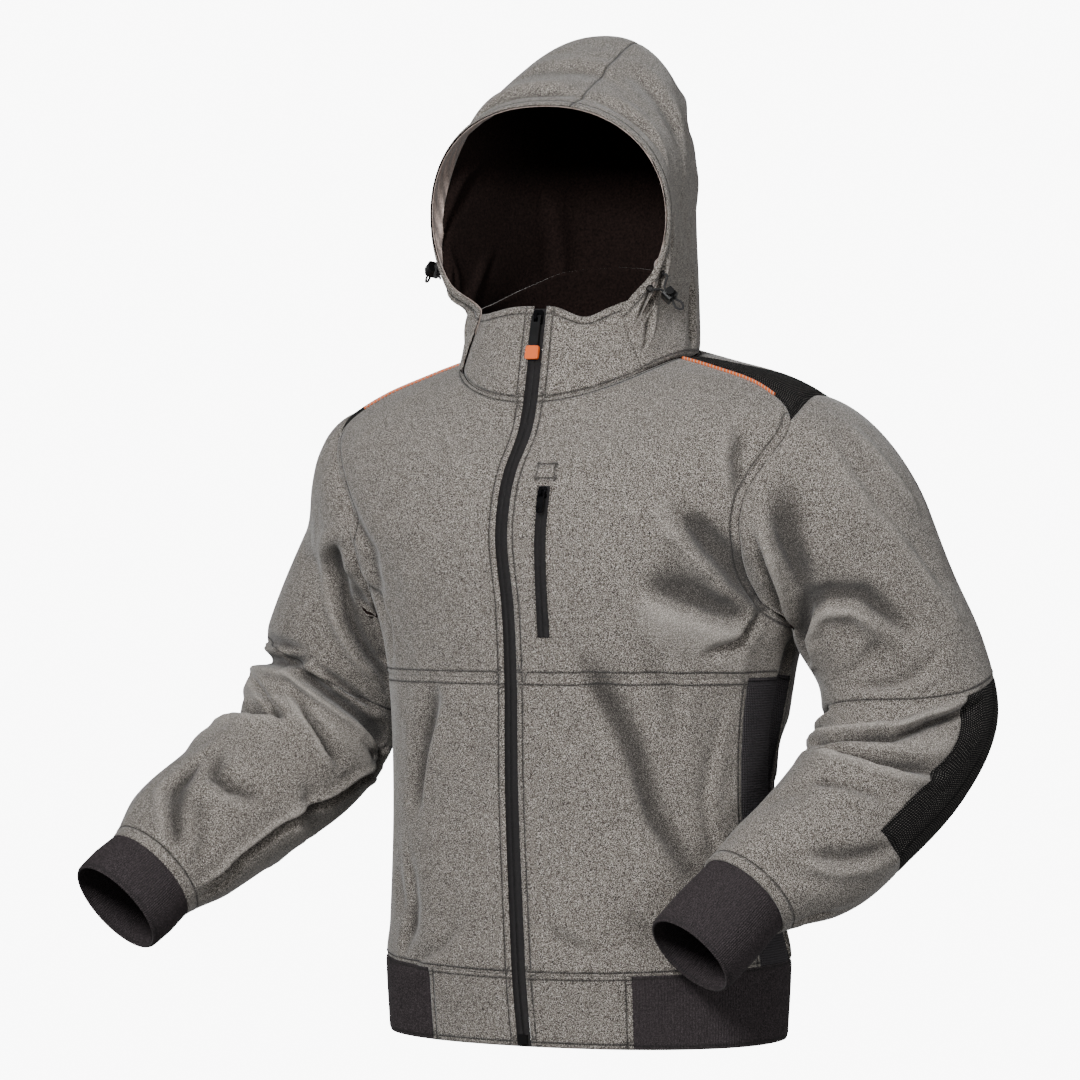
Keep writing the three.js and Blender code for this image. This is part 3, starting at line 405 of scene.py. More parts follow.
def shell(title, grid, keep, finishes, thick=CLOTH, out=0.0, roll=0.8, stitched=(), inset=SEAM):
    """Cloth on the cells where keep(column, row) is true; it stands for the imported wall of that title."""
    c, r = grid["c"], grid["r"]
    cm, rm = np.meshgrid((c[1:] + c[:-1]) / 2, (r[1:] + r[:-1]) / 2, indexing="ij")
    kept = keep(cm, rm)
    nu, nv = kept.shape
    P, N = grid["P"], grid["N"]
    ids = np.arange((nu + 1) * (nv + 1)).reshape(nu + 1, nv + 1)
    if grid["closed"]:
        ids[-1] = ids[0]
    i, j = np.nonzero(kept)
    quads = np.stack([ids[i, j], ids[i + 1, j], ids[i + 1, j + 1], ids[i, j + 1]], 1)
    edges = {}
    for quad in quads.tolist():
        for a, b in zip(quad, quad[1:] + quad[:1]):
            if (b, a) in edges:
                del edges[(b, a)]
            else:
                edges[(a, b)] = True
    rim = np.array(list(edges), int)
    used, back = np.unique(quads, return_inverse=True)
    quads = back.reshape(-1, 4)
    lookup = np.full((nu + 1) * (nv + 1), -1)
    lookup[used] = np.arange(len(used))
    rim = lookup[rim]
    p, n = P.reshape(-1, 3)[used], N.reshape(-1, 3)[used]
    cs, rs = np.meshgrid(c, r, indexing="ij")
    cs, rs = cs.ravel()[used], rs.ravel()[used]
    on_rim = np.zeros(len(p), bool)
    on_rim[rim.ravel()] = True
    # rim points move in by the seam's half gap
    total, count = np.zeros_like(p), np.zeros(len(p))
    for k in range(4):
        for m in (1, 3):
            a, b = quads[:, k], quads[:, (k + m) % 4]
            free = ~on_rim[b]
            np.add.at(total, a[free], p[b[free]])
            np.add.at(count, a[free], 1)
    has = on_rim & (count > 0)
    inward = np.zeros_like(p)
    inward[has] = unit(total[has] / count[has][:, None] - p[has])
    p = p + inward * inset
    # how far each point is from the rim, and from its stitched edges
    def distance(where):
        tree = KDTree(int(where.sum()))
        for q in p[where]:
            tree.insert(Vector(q), 0)
        tree.balance()
        return np.array([tree.find(Vector(q))[2] for q in p])

    sink = np.exp(-((distance(on_rim) / 2.2) ** 2)) * roll
    seam_far = np.full(len(p), 60.0)
    for axis, at, low, high, off in stitched:
        mine, other = (cs, rs) if axis == "c" else (rs, cs)
        line = (np.abs(mine - at) < 1e-4) & (other > low - 1e-4) & (other < high + 1e-4) & on_rim
        if line.any():
            beside = distance(line) - off
            seam_far = np.where(np.abs(beside) < np.abs(seam_far), beside, seam_far)
    outer = p + n * (out - sink)[:, None]
    inner = p + n * (out - thick + 0.3 * sink)[:, None]
    middle = (outer + inner)[rim[:, 0]] / 2 - inward[rim[:, 0]] * 0.12
    place_u = lengths_along(P, 0).reshape(-1)[used]
    place_v = lengths_along(P, 1).reshape(-1)[used]
    cloth = np.stack([place_u, place_v, seam_far], 1)
    m = len(p)
    order = {a: k for k, a in enumerate(rim[:, 0].tolist())}
    faces = quads.tolist()
    faces += (quads[:, ::-1] + m).tolist()
    nxt = [order[b] for b in rim[:, 1].tolist()]
    for k, (a, b) in enumerate(rim.tolist()):
        faces.append([b, a, 2 * m + k, 2 * m + nxt[k]])
        faces.append([2 * m + nxt[k], 2 * m + k, a + m, b + m])
    if grid["flip"] < 0:
        faces = [f[::-1] for f in faces]
    inside = min(1, len(finishes) - 1)
    face_finish = [0] * len(quads) + [inside] * len(quads) + [0, inside] * len(rim)
    points = np.concatenate([outer, inner, middle])
    cloth = np.concatenate([cloth, cloth, cloth[rim[:, 0]]])
    fold = grid["fold"].reshape(-1)[used]
    fold = np.concatenate([fold, fold, fold[rim[:, 0]]])
    shells[title] = mesh_object(f"{title}_cloth", points, faces, finishes, face_finish, cloth, fold)
    d1 = outer[quads[:, 2]] - outer[quads[:, 0]]
    d2 = outer[quads[:, 3]] - outer[quads[:, 1]]
    area = np.linalg.norm(np.cross(d1, d2), axis=1).sum() / 2e6
    du = np.linalg.norm(np.diff(P, axis=0), axis=-1)[:, :-1] * kept
    dv = np.linalg.norm(np.diff(P, axis=1), axis=-1)[:-1] * kept
    measured[title] = (du.sum(0).max() / 1000, dv.sum(1).max() / 1000, area)
    print(f"{title}: {2 * len(faces)} triangles, {area:.4f} square metres")

# %% [markdown]
# ## Sleeves
# A sleeve is rings from the armhole down to the cuff. The arm bends at the elbow, so the rings
# turn from the upper arm's direction to the forearm's. Its first fifth is a curve from each
# place on the armhole to the first whole ring, and that is what makes the shoulder's round cap.

# %% Arms
ARMS = {
    1: {
        "upper": (98, 58, -205), "fore": (-136, -233, -225), "cuff_length": 86, "cuff": 46,
        "slope": 0.06,
        "rings": table(
            "at x y z turn ra rb",
            (0.20, 274, 20, -192, 0.00, 95, 92), (0.36, 299, 40, -250, 0.05, 86, 86),
            (0.50, 321, 56, -303, 0.25, 85, 82), (0.59, 329, 57, -349, 0.50, 88, 82),
            (0.69, 321, 30, -398, 0.80, 78, 78), (0.78, 300, -15, -440, 1.00, 73, 74),
            (0.89, 271, -62, -484, 1.00, 68, 69), (1.00, 229, -116, -519, 1.00, 55, 56),
        ),
        "creases": [
            broad([[4.25, 0.05], [5.75, 0.1], [7, 0.17]], -6, 17),
            broad([[1, 0.61], [4, 0.64], [7, 0.69]], 5, 16),
            broad([[6, 0.3], [5, 0.42]], -5, 18),
            broad([[16, 0.25], [19, 0.36]], -6, 20),
            broad([[6, 0.8], [8, 0.86]], -4, 16),
            fine([[3.6, 0.0], [5.0, 0.044], [6.0, 0.085], [7.0, 0.15]], -6.5, 11, -0.35),
            fine([[6.3, 0.02], [7.5, 0.06], [8.6, 0.13], [9.4, 0.20]], -6.0, 7, 0.5),
            fine([[9.6, 0.33], [8.8, 0.24], [7.4, 0.195], [6.2, 0.205], [5.0, 0.255], [4.5, 0.315],
                  [3.8, 0.385]], -7.5, 10, -0.5),
            fine([[9.4, 0.31], [8.7, 0.235], [7.2, 0.20]], -4.0, 13, -0.2),
            fine([[5.2, 0.36], [6.4, 0.40], [7.8, 0.42]], -1.8, 9, -0.3),
            fine([[3.0, 0.455], [5.2, 0.475], [7.4, 0.465]], -3.0, 8, 0.4),
            fine([[9.4, 0.645], [7.8, 0.648], [6.0, 0.629], [4.8, 0.60]], -7.5, 6.5, 0.55, 0.2),
            fine([[6.0, 0.635], [4.8, 0.62], [3.5, 0.575], [1.8, 0.55]], -7.5, 6.5, 0.5),
            fine([[7.6, 0.69], [6.0, 0.695], [4.2, 0.688], [1.8, 0.673]], -7.5, 7, -0.55, 0.2),
            fine([[2.6, 0.75], [4.6, 0.77], [7.0, 0.79]], -2.6, 9, 0.4),
            fine([[0.4, 0.81], [2.0, 0.887], [3.8, 0.937]], -4.2, 10, 0.4),
            fine([[5.2, 0.972], [3.2, 0.952], [1.4, 0.94]], -2.6, 7, 0.4),
            fine([[1.6, 0.02], [2.5, 0.082], [2.8, 0.138], [1.9, 0.31], [1.0, 0.43]], 1.7, 7, 0.35),
            fine([[1.0, 0.05], [1.0, 0.11], [0.7, 0.19]], 1.9, 7, 0.4),
            fine([[10.6, 0.03], [11.6, 0.14], [12.2, 0.26]], -4.5, 9, 0.4),
            fine([[13.4, 0.03], [13.0, 0.12], [13.6, 0.24]], -3.8, 9, -0.4),
            fine([[9.4, 0.52], [11.6, 0.55], [14.6, 0.56]], -6.5, 9, 0.5),
            fine([[9.0, 0.60], [11.8, 0.61], [15.2, 0.60]], -6.0, 8, 0.5),
            fine([[10.2, 0.68], [12.4, 0.67], [14.2, 0.68]], -4.0, 8, 0.4),
            fine([[17.4, 0.02], [18.2, 0.09], [18.0, 0.19]], -4.0, 10, 0.4),
            fine([[20.2, 0.05], [20.8, 0.16], [20.0, 0.28]], -2.6, 11, 0.4),
            fine([[15.2, 0.30], [17.2, 0.36], [18.6, 0.44]], -3.6, 10, 0.4),
            fine([[16.4, 0.50], [18.6, 0.49], [20.8, 0.51]], -3.0, 9, 0.4),
            fine([[15.6, 0.72], [18.0, 0.76], [20.6, 0.78]], -3.2, 9, 0.4),
            fine([[17.0, 0.88], [19.0, 0.91], [20.6, 0.96]], -3.0, 8, 0.4),
            fine([[11.0, 0.86], [12.6, 0.89], [13.6, 0.94]], -2.6, 8, 0.4),
            fine([[22.4, 0.93], [22.6, 0.97], [22.2, 1.0]], -2.0, 6, 0.2),
        ],
    },
    -1: {
        "upper": (-86, 26, -180), "fore": (-112, -208, -180), "cuff_length": 52, "cuff": 53,
        "slope": 0.0,
        "rings": table(
            "at x y z turn ra rb",
            (0.20, -223, 6, -193, 0.00, 68, 90), (0.36, -259, 16, -250, 0.05, 74, 86),
            (0.50, -292, 27, -308, 0.25, 78, 82), (0.60, -309, 26, -362, 0.50, 84, 80),
            (0.70, -323, -8, -405, 0.80, 77, 76), (0.80, -349, -62, -441, 1.00, 71, 75),
            (0.90, -381, -116, -480, 1.00, 67, 72), (1.00, -404, -160, -517, 1.00, 60, 60),
        ),
        "creases": [
            broad([[9.5, 0.06], [11, 0.2], [13, 0.35]], -7, 17),
            broad([[6, 0.69], [8.5, 0.655], [11, 0.62], [14, 0.63]], 6, 16),
            broad([[7.5, 0.86], [9.5, 0.9]], -4, 15),
            broad([[17, 0.24], [19, 0.36]], -6, 20),
            fine([[6.6, 0.0], [7.2, 0.05], [9.0, 0.164], [10.5, 0.264], [12.2, 0.396], [14.0, 0.472]],
                 -7.5, 10, 0.3, 0.2),
            fine([[4.6, 0.53], [6.4, 0.515], [7.8, 0.497], [8.8, 0.478]], -4.4, 8, 0.3),
            fine([[2.4, 0.575], [4.4, 0.57], [6.0, 0.566], [7.8, 0.547], [9.4, 0.495]],
                 -7.5, 8.5, 0.45, 0.2),
            fine([[8.4, 0.535], [10.8, 0.553], [12.5, 0.56], [14.0, 0.572], [15.4, 0.585]],
                 -9.0, 7.5, 0.5, 0.2),
            fine([[9.8, 0.50], [11.4, 0.515], [13.6, 0.533]], -5.0, 5.5, 0.3),
            fine([[9.2, 0.60], [10.2, 0.642], [11.8, 0.673], [12.9, 0.68]], -7.5, 6.5, 0.45),
            fine([[5.6, 0.615], [7.8, 0.667], [9.0, 0.692]], -4.6, 6, 0.4),
            fine([[1.6, 0.735], [3.4, 0.728], [5.2, 0.723], [7.5, 0.704], [8.9, 0.673]],
                 -7.5, 8.5, 0.45, 0.2),
            fine([[7.6, 0.81], [9.0, 0.849], [10.2, 0.849], [11.9, 0.825]], -5.0, 7, 0.4),
            fine([[7.5, 0.845], [7.8, 0.893], [9.2, 0.937], [11.0, 0.975]], -6.0, 8, 0.4),
            fine([[9.5, 0.89], [11.2, 0.925], [12.5, 0.962]], -2.8, 8, 0.4),
            fine([[15.4, 0.60], [14.6, 0.68], [14.1, 0.76], [13.7, 0.83], [13.8, 0.90], [14.5, 0.975]],
                 -5.5, 5.5, 0.5, 0.15),
            fine([[13.4, 0.572], [14.8, 0.597], [16.0, 0.629]], -5.0, 7, 0.4),
            fine([[2.0, 0.64], [5.0, 0.645], [7.2, 0.62]], 4.0, 19),
            fine([[1.0, 0.80], [4.0, 0.79], [6.6, 0.775]], 3.2, 20),
            fine([[12.6, 0.04], [13.4, 0.16], [14.6, 0.28]], -4.2, 9, 0.4),
            fine([[14.4, 0.04], [15.0, 0.14], [16.4, 0.24]], -3.6, 10, -0.4),
            fine([[13.4, 0.60], [15.4, 0.63], [16.6, 0.62]], -4.0, 8, 0.4),
            fine([[12.6, 0.76], [14.4, 0.78], [16.0, 0.77]], -3.4, 9, 0.4),
            fine([[18.4, 0.05], [19.4, 0.14], [19.6, 0.26]], -3.4, 10, 0.4),
            fine([[21.0, 0.08], [21.6, 0.2], [21.0, 0.32]], -2.6, 11, 0.3),
            fine([[17.2, 0.44], [19.0, 0.48], [21.2, 0.49]], -3.2, 9, 0.4),
            fine([[17.0, 0.80], [19.2, 0.83], [21.0, 0.86]], -3.0, 9, 0.4),
            fine([[1.8, 0.88], [2.6, 0.93], [2.4, 0.985]], -2.4, 7, 0.3),
            fine([[14.0, 0.90], [15.0, 0.94], [15.2, 0.99]], -2.4, 7, 0.3),
        ],
    },
}
ARM_SCALE = (21, 540)  # millimetres of cloth to one ring cell, and to the whole arm
START = table(
    "at x y z",
    (0, 0.97, 0, -0.25), (2, 0.95, -0.12, -0.30), (6, 0.86, -0.30, -0.42), (10, 0.80, -0.1, -0.60),
    (12, 0.80, 0, -0.60), (14, 0.80, 0.1, -0.60), (18, 0.86, 0.30, -0.42), (22, 0.95, 0.12, -0.30),
    (24, 0.97, 0, -0.25),
)
STATIONS = [0, 0.04, 0.09, 0.15, 0.21, 0.28, 0.35, 0.42, 0.48, 0.53]
STATIONS += [0.565, 0.6, 0.64, 0.69, 0.75, 0.81, 0.88, 0.94, 1]
ELBOW, PATCH_END, WRIST = 9, 15, 18
BLEND_END, SLANT, FLANK_GAP = 0.2, 0.11, 3
for a in ARMS.values():
    a["U"], a["F"] = unit(np.array(a["upper"], float)), unit(np.array(a["fore"], float))
    a["across"] = unit(np.cross(a["U"], a["F"]))
    a["to_fold"] = unit(a["F"] - (a["F"] @ a["U"]) * a["U"])
    a["bend"] = math.acos(a["F"] @ a["U"])
    print("arm bends", round(math.degrees(a["bend"])), "degrees")

# %% [markdown]
# An arm that hangs beside the body can't pass through it, so the inner side of each upper
# sleeve is pushed outwards by as much as it would reach into the flank, with a soft start.

# %% The sleeve's form
LEVELS = np.linspace(0, 0.76, 400)
HEIGHTS = track(BODY, "z", LEVELS)


def outwards(a, turn):
    angle = np.asarray(turn, float)[..., None] * a["bend"]
    return a["U"] * np.sin(angle) - a["to_fold"] * np.cos(angle)


def ring(side, t, s):
    a = ARMS[side]
    at = {key: track(a["rings"], key, s) for key in ("x", "y", "z", "turn", "ra", "rb")}
    q = np.radians(t * 15 + 48)
    out = outwards(a, np.clip(at["turn"], 0, 1)) * (at["ra"] * np.cos(q))[..., None]
    return xyz(at["x"], at["y"], at["z"]) + out - side * a["across"] * (at["rb"] * np.sin(q))[..., None]


def slanted(side, t, s):
    f = np.clip((0.5 - s) / 0.3, 0, 1)
    under = (1 - np.cos(np.radians(t * 15))) / 2
    return ring(side, t, s + SLANT * under * f * f * (3 - 2 * f))


def off_body(side, p, share):
    v = np.interp(p[..., 2], HEIGHTS, LEVELS)
    depth = np.where(p[..., 1] > 0, track(BODY, "back", v), track(BODY, "front", v)) + FLANK_GAP
    within = np.minimum(np.abs(p[..., 1]) / depth, 1)
    reach = (1 - within**SQUARENESS) ** (1 / SQUARENESS)
    limit = side * track(BODY, "shift", v) + (track(BODY, "width", v) + FLANK_GAP) * reach
    x = side * p[..., 0]
    pushed = (x + limit + np.hypot(x - limit, 7)) / 2
    moved = np.where(within < 1, x + (pushed - x) * share, x)
    return xyz(side * moved, p[..., 1], p[..., 2])


def armhole_place(t):
    t = np.asarray(t, float) % 24
    cases = [t <= 2, t < 10, t <= 14, t < 22]
    column = np.select(cases, [10 - t, 8, t - 2, 12], 34 - t)
    return column, np.select(cases, [20, 22 - t, 12, t - 2], 20)


def sleeve_form(side, t, s):
    rise, fall = np.clip((s - 0.2) / 0.33, 0, 1), np.clip((0.97 - s) / 0.44, 0, 1)
    low = np.minimum(rise, fall)
    lean = ARMS[side]["slope"] * (1 - np.cos(np.radians(t * 15 + 48))) * low * low * (3 - 2 * low)
    far = slanted(side, t, np.maximum(s, BLEND_END) + lean)
    far = off_body(side, far, np.clip((0.62 - s) / 0.1, 0, 1))
    t1 = t[:, :1]
    column, row = armhole_place(t1)
    p0 = on_body(column if side > 0 else 40 - column, row)
    one = np.ones_like(t1)
    p1 = off_body(side, slanted(side, t1, BLEND_END * one), 1)
    way = off_body(side, slanted(side, t1, (BLEND_END + 0.01) * one), 1) - p1
    length = np.linalg.norm(p1 - p0, axis=-1, keepdims=True) * 1.1
    way = unit(way) * np.minimum(np.linalg.norm(way, axis=-1, keepdims=True) / 0.01 * 0.2, length)
    start = xyz(side * track(START, "x", t1), track(START, "y", t1), track(START, "z", t1))
    u = np.clip(s / BLEND_END, 0, 1)[..., None]
    near = p0 * (2 * u**3 - 3 * u**2 + 1) + start * length * (u**3 - 2 * u**2 + u)
    near = near + p1 * (3 * u**2 - 2 * u**3) + way * (u**3 - u**2)
    return np.where((s < BLEND_END)[..., None], near, far)


def arm_ring(side, t, ahead, radius):
    a = ARMS[side]
    end = a["rings"][-1]
    q = np.radians(t * 15 + 48)[..., None]
    ahead, radius = np.asarray(ahead, float)[..., None], np.asarray(radius, float)[..., None]
    centre = np.array([end["x"], end["y"], end["z"]]) + a["F"] * ahead
    return centre + outwards(a, 1) * radius * np.cos(q) - side * a["across"] * radius * np.sin(q)


def sleeve_net(side):
    a = ARMS[side]
    rows = places(WRIST, 7, (ELBOW, PATCH_END), (0.05, 0.12))
    rows = np.concatenate([rows, WRIST + np.array([0.25, 0.5, 0.75, 1])])
    columns = places(24, 7, (2, 18), (0.06, 0.14))

    def place(t, j):
        s = np.interp(j, range(WRIST + 1), STATIONS)
        p = sleeve_form(side, t, s)
        axis = xyz(*[track(a["rings"], key, s) for key in "xyz"])
        q = np.clip((s - 0.92) / 0.08, 0, 1)
        drawn = 1 - 0.1 * q * q * (3 - 2 * q)
        p = axis + (p - axis) * drawn[..., None]
        over = np.clip(j - WRIST, 0, 1) * math.pi / 2
        end, rim = a["cuff"] + 0.7, a["rings"][-1]["ra"] * 0.9
        tuck = arm_ring(side, t, 3.2 * np.sin(over), rim + (end - rim) * (1 - np.cos(over)))
        return np.where((j > WRIST)[..., None], tuck, p)

    plain = net(columns, rows, place, closed=True, flip=side)
    t, j = np.meshgrid(columns, rows, indexing="ij")
    s = np.interp(j, range(WRIST + 1), STATIONS)
    fade = np.clip(s / 0.08, 0, 1) * np.clip((1 - s) / 0.04, 0, 1)
    height = around(a["creases"], ARM_SCALE, t, s, 24) * fade
    height[-1] = height[0]
    full = plain["P"] + plain["N"] * height[..., None]
    creased = net(columns, rows, lambda c, r: full, closed=True, flip=side)
    creased["fold"] = height
    return creased


sleeves = {"left": sleeve_net(1), "right": sleeve_net(-1)}
print("sleeve points", sleeves["left"]["P"].shape)

# %% [markdown]
# ## Collar and hood
# The collar stands on the neck seam. The hood is a row of bows, from its face edge over the
# head to the seam behind the neck, and each bow's ends sit on the neck.

# %% Collar and hood forms
COLLAR = table("at width front back", (0, 116, 116, 106), (0.5, 111, 104, 101), (1, 104, 92, 93))
COLLAR_TOP = table(
    "at z", (-180, 98), (-150, 94), (-128, 80), (-90, 57), (-45, 45), (-15, 50), (0, 50), (8, 49),
    (24, 39), (38, 48), (52, 56), (90, 62), (130, 78), (160, 94), (180, 98),
)
COLLAR_ROWS = [0, 0.33, 0.67, 1]
HOOD = table(
    "at apexY apexZ half endX endY endZ dish lean skew lift",
    (0.00, -88, 249, 131, 80, -85, 48, 12, -7, 14, 0),
    (0.12, -60, 262, 131, 83, -84, 37, 8, -10, 16, 0),
    (0.30, 0, 298, 125, 91, -81, 20, 0, -14, 18, 0),
    (0.50, 78, 332, 118, 96, -77, 6, 0, -12, 18, 0),
    (0.68, 136, 284, 112, 99, -74, -3, 0, -6, 12, 1),
    (0.84, 141, 160, 110, 101, -72, -9, 0, 0, 4, 3),
    (1.00, 115, 27, 122, 102, -70, -12, 0, 0, 0, 8),
)
HOOD_ROWS = [0, 0.06, 0.14, 0.24, 0.36, 0.48, 0.6, 0.72, 0.86, 1]
HOOD_SQUARENESS = 2.2
SEAT, HOOD_GAP = 2.45, 4.2    # air between the collar and the hood's seam, and its front corners
HOOD_CREASES = [
    fine([[6.6, 0.19], [9.4, 0.155], [11.7, 0.12]], -3.4, 9, 0.5),
    fine([[12.4, 0.12], [14.6, 0.15], [16.4, 0.2]], -2.4, 10, 0.4),
    fine([[8.2, 0.3], [10.4, 0.27], [12.6, 0.26]], -2.4, 12, 0.4),
    fine([[13.2, 0.33], [15.4, 0.38], [17.2, 0.46]], -2.6, 13, 0.4),
    fine([[20.6, 0.2], [21.2, 0.3], [22.4, 0.42]], -4.2, 9, 0.5),
    fine([[21.8, 0.16], [22.4, 0.24], [23.2, 0.3]], -3.4, 7, 0.5),
    fine([[19.4, 0.26], [20.2, 0.38], [21.6, 0.5]], -3.0, 10, -0.4),
    fine([[22.6, 0.46], [23.0, 0.58], [23.6, 0.68]], -2.8, 8, 0.4),
    fine([[1.4, 0.22], [2.0, 0.34], [1.4, 0.46]], -3.4, 9, 0.5),
    fine([[3.2, 0.24], [4.2, 0.36], [4.4, 0.5]], -2.8, 11, 0.4),
    fine([[0.8, 0.56], [1.6, 0.66], [2.8, 0.72]], -2.8, 9, 0.4),
    fine([[8.0, 0.62], [10.0, 0.7], [11.8, 0.78]], -3.0, 13, 0.4),
    fine([[16.0, 0.6], [14.2, 0.7], [12.6, 0.8]], -3.2, 12, 0.4),
    fine([[17.6, 0.72], [16.4, 0.84], [15.2, 0.93]], -2.6, 10, 0.4),
    fine([[6.4, 0.78], [7.6, 0.88], [8.4, 0.96]], -2.6, 10, 0.4),
    fine([[19.6, 0.84], [20.2, 0.92], [20.4, 0.98]], -2.2, 8, 0.3),
]


def collar(phi, h):
    s, c, e = np.sin(np.radians(phi)), np.cos(np.radians(phi)), 2 / SQUARENESS
    at = {key: track(COLLAR, key, h) for key in ("width", "front", "back")}
    low = 2 - np.where(c > 0, 44, -22) * np.abs(c) ** 1.6
    depth = np.where(c > 0, at["front"], at["back"])
    z = low + (track(COLLAR_TOP, "z", phi) - low) * h
    return xyz(at["width"] * power(s, e) - h, -depth * power(c, e), z)


def on_neck(p):
    foot, e = COLLAR[0], SQUARENESS / 2
    depth = np.where(p[..., 1] < 0, foot["front"], foot["back"])
    x, y = power(p[..., 0] / foot["width"], e), power(-p[..., 1] / depth, e)
    q = collar(np.degrees(np.arctan2(x, y)), 0 * x)
    return q * [1 + SEAT / foot["width"], 1 + SEAT / foot["front"], 1] + [0, 0, 1.2]


def hood(u, w):
    u, w = np.broadcast_arrays(np.asarray(u, float), np.asarray(w, float))
    at = {key: track(HOOD, key, w) for key in HOOD[0] if key != "at"}
    theta = np.arccos(np.clip(at["endX"] / at["half"], -1, 1))
    dy, dz = at["apexY"] - at["endY"], at["apexZ"] - at["endZ"]
    reach = np.hypot(dy, dz)
    angle = (np.pi / 2 + theta) * u + np.radians(at["skew"]) * (1 - u * u)
    s, c, e = np.sin(angle), np.cos(angle), 2 / HOOD_SQUARENESS
    k = (np.where(c > 0, power(c, e), c) + np.sin(theta)) / (1 + np.sin(theta))
    dish = at["dish"] * (1 - ((k - 0.45) / 0.55) ** 2)
    held = np.clip(k, 0, 1)
    p = xyz(
        at["half"] * np.where(c > 0, power(s, e), s) + at["lean"] * held**2,
        at["endY"] + dy * k + dz / reach * dish,
        at["endZ"] + dz * k - dy / reach * dish + at["lift"] * np.sin(np.pi * held),
    )
    q = (np.clip((w - 0.86) / 0.14, 0, 1) ** 2)[..., None]
    return p + (on_neck(p) - p) * q


def smooth_step(x):
    x = np.clip(x, 0, 1)
    return x * x * (3 - 2 * x)


def beside_collar(p, u):
    """The hood's lower front corners lie close round the collar."""
    foot, e = COLLAR[0], SQUARENESS / 2
    x, y = power(p[..., 0] / foot["width"], e), power(-p[..., 1] / foot["front"], e)
    phi = np.degrees(np.arctan2(x, y))
    low, top = collar(phi, 0)[..., 2], collar(phi, 1)[..., 2]
    q = collar(phi, np.clip((p[..., 2] - low) / (top - low), 0, 1))[..., :2]
    beside = q * (1 + HOOD_GAP / np.linalg.norm(q, axis=-1, keepdims=True))
    share = smooth_step((np.abs(u) - 0.78) / 0.22) * np.exp(-((np.maximum(p[..., 2] - top, 0) / 14) ** 2))
    share = share * (p[..., 1] < 0)
    moved = p[..., :2] + (beside - p[..., :2]) * share[..., None]
    return np.concatenate([moved, p[..., 2:]], -1)


def hood_place(c, r):
    w = np.interp(r, range(len(HOOD_ROWS)), HOOD_ROWS)
    p = hood(c / 12 - 1, w)
    closer = beside_collar(p, c / 12 - 1)
    return p + (closer - p) * smooth_step((0.95 - w) / 0.15)[..., None]


print("hood top", np.round(hood(0.0, 0.5)), "collar top", np.round(collar(0.0, 1.0)))

# %% [markdown]
# ## The camera
# The camera looks at the jacket from its own left, 26 degrees round from the front and level,
# from far enough away that the sleeves hardly change size.

# %% Camera
AZIMUTH, DISTANCE = math.radians(26), 4.5
AIM = Vector((-0.0369, -0.018, -0.180))
BACK = Vector((math.sin(AZIMUTH), -math.cos(AZIMUTH), 0))
camera_data = bpy.data.cameras.new("Camera")
camera_data.lens, camera_data.sensor_width = 150, 36
camera = placed("Camera", camera_data)
camera.location = AIM + BACK * DISTANCE
camera.rotation_euler = (math.pi / 2, 0, AZIMUTH)
bpy.context.scene.camera = camera
print("camera at", [round(x, 3) for x in camera.location])

# %% [markdown]
# ## Finishes
# Every finish is made of nodes, with no pictures. The numbers inside are real sizes: a noise of
# scale 1300 to the metre changes about every three quarters of a millimetre, the size of the
# jacket's flecks. A small helper adds a node, so that each finish reads top to bottom.

# %% Helpers for finishes
def linear(code):
    parts = [int(code[k : k + 2], 16) / 255 for k in (1, 3, 5)]
    return [c / 12.92 if c <= 0.04045 else ((c + 0.055) / 1.055) ** 2.4 for c in parts] + [1]


def node(tree, kind, inputs=None, **settings):
    made_node = tree.nodes.new(kind)
    for key, value in settings.items():
        setattr(made_node, key, value)
    for key, value in (inputs or {}).items():
        if isinstance(value, bpy.types.NodeSocket):
            tree.links.new(value, made_node.inputs[key])
        else:
            made_node.inputs[key].default_value = value
    return made_node


def maths(tree, operation, *values):
    inputs = dict(enumerate(values))
    return node(tree, "ShaderNodeMath", inputs, operation=operation).outputs[0]


def blank(name, colour, rough, **values):
    finish = bpy.data.materials.new(name)
    finish.use_nodes = True
    shader = finish.node_tree.nodes["Principled BSDF"]
    shader.inputs["Base Color"].default_value = linear(colour)
    shader.inputs["Roughness"].default_value = rough
    for key, value in values.items():
        shader.inputs[key.replace("_", " ")].default_value = value
    finish.diffuse_color = linear(colour)
    return finish, finish.node_tree, shader


def ramp(tree, factor, *stops):
    made_node = node(tree, "ShaderNodeValToRGB", {0: factor})
    band = made_node.color_ramp
    while len(band.elements) < len(stops):
        band.elements.new(0.5)
    for element, (at, code) in zip(band.elements, stops):
        element.position, element.color = at, linear(code)
    return made_node.outputs[0]


def noise(tree, scale, detail=2.0, rough=0.5):
    inputs = {"Scale": scale, "Detail": detail, "Roughness": rough}
    inputs["Vector"] = node(tree, "ShaderNodeTexCoord").outputs["Object"]
    return node(tree, "ShaderNodeTexNoise", inputs).outputs[0]


def cloth_place(tree):
    """Where a point is on its cloth: along, across, and its distance from the stitching."""
    source = node(tree, "ShaderNodeAttribute", attribute_name="cloth").outputs["Vector"]
    split = node(tree, "ShaderNodeSeparateXYZ", {0: source})
    return split.outputs[0], split.outputs[1], split.outputs[2]


def bump(tree, shader, *heights):
    """Each height in metres, as (socket, how far it stands up)."""
    normal = None
    for height, tall in heights:
        inputs = {"Height": height, "Distance": tall, "Strength": 1.0}
        if normal:
            inputs["Normal"] = normal
        normal = node(tree, "ShaderNodeBump", inputs).outputs[0]
    tree.links.new(normal, shader.inputs["Normal"])


def tint(tree, factor, a, b):
    """One colour over another by a factor."""
    a, b = (linear(colour) if isinstance(colour, str) else colour for colour in (a, b))
    return node(tree, "ShaderNodeMix", {0: factor, 6: a, 7: b}, data_type="RGBA").outputs[2]
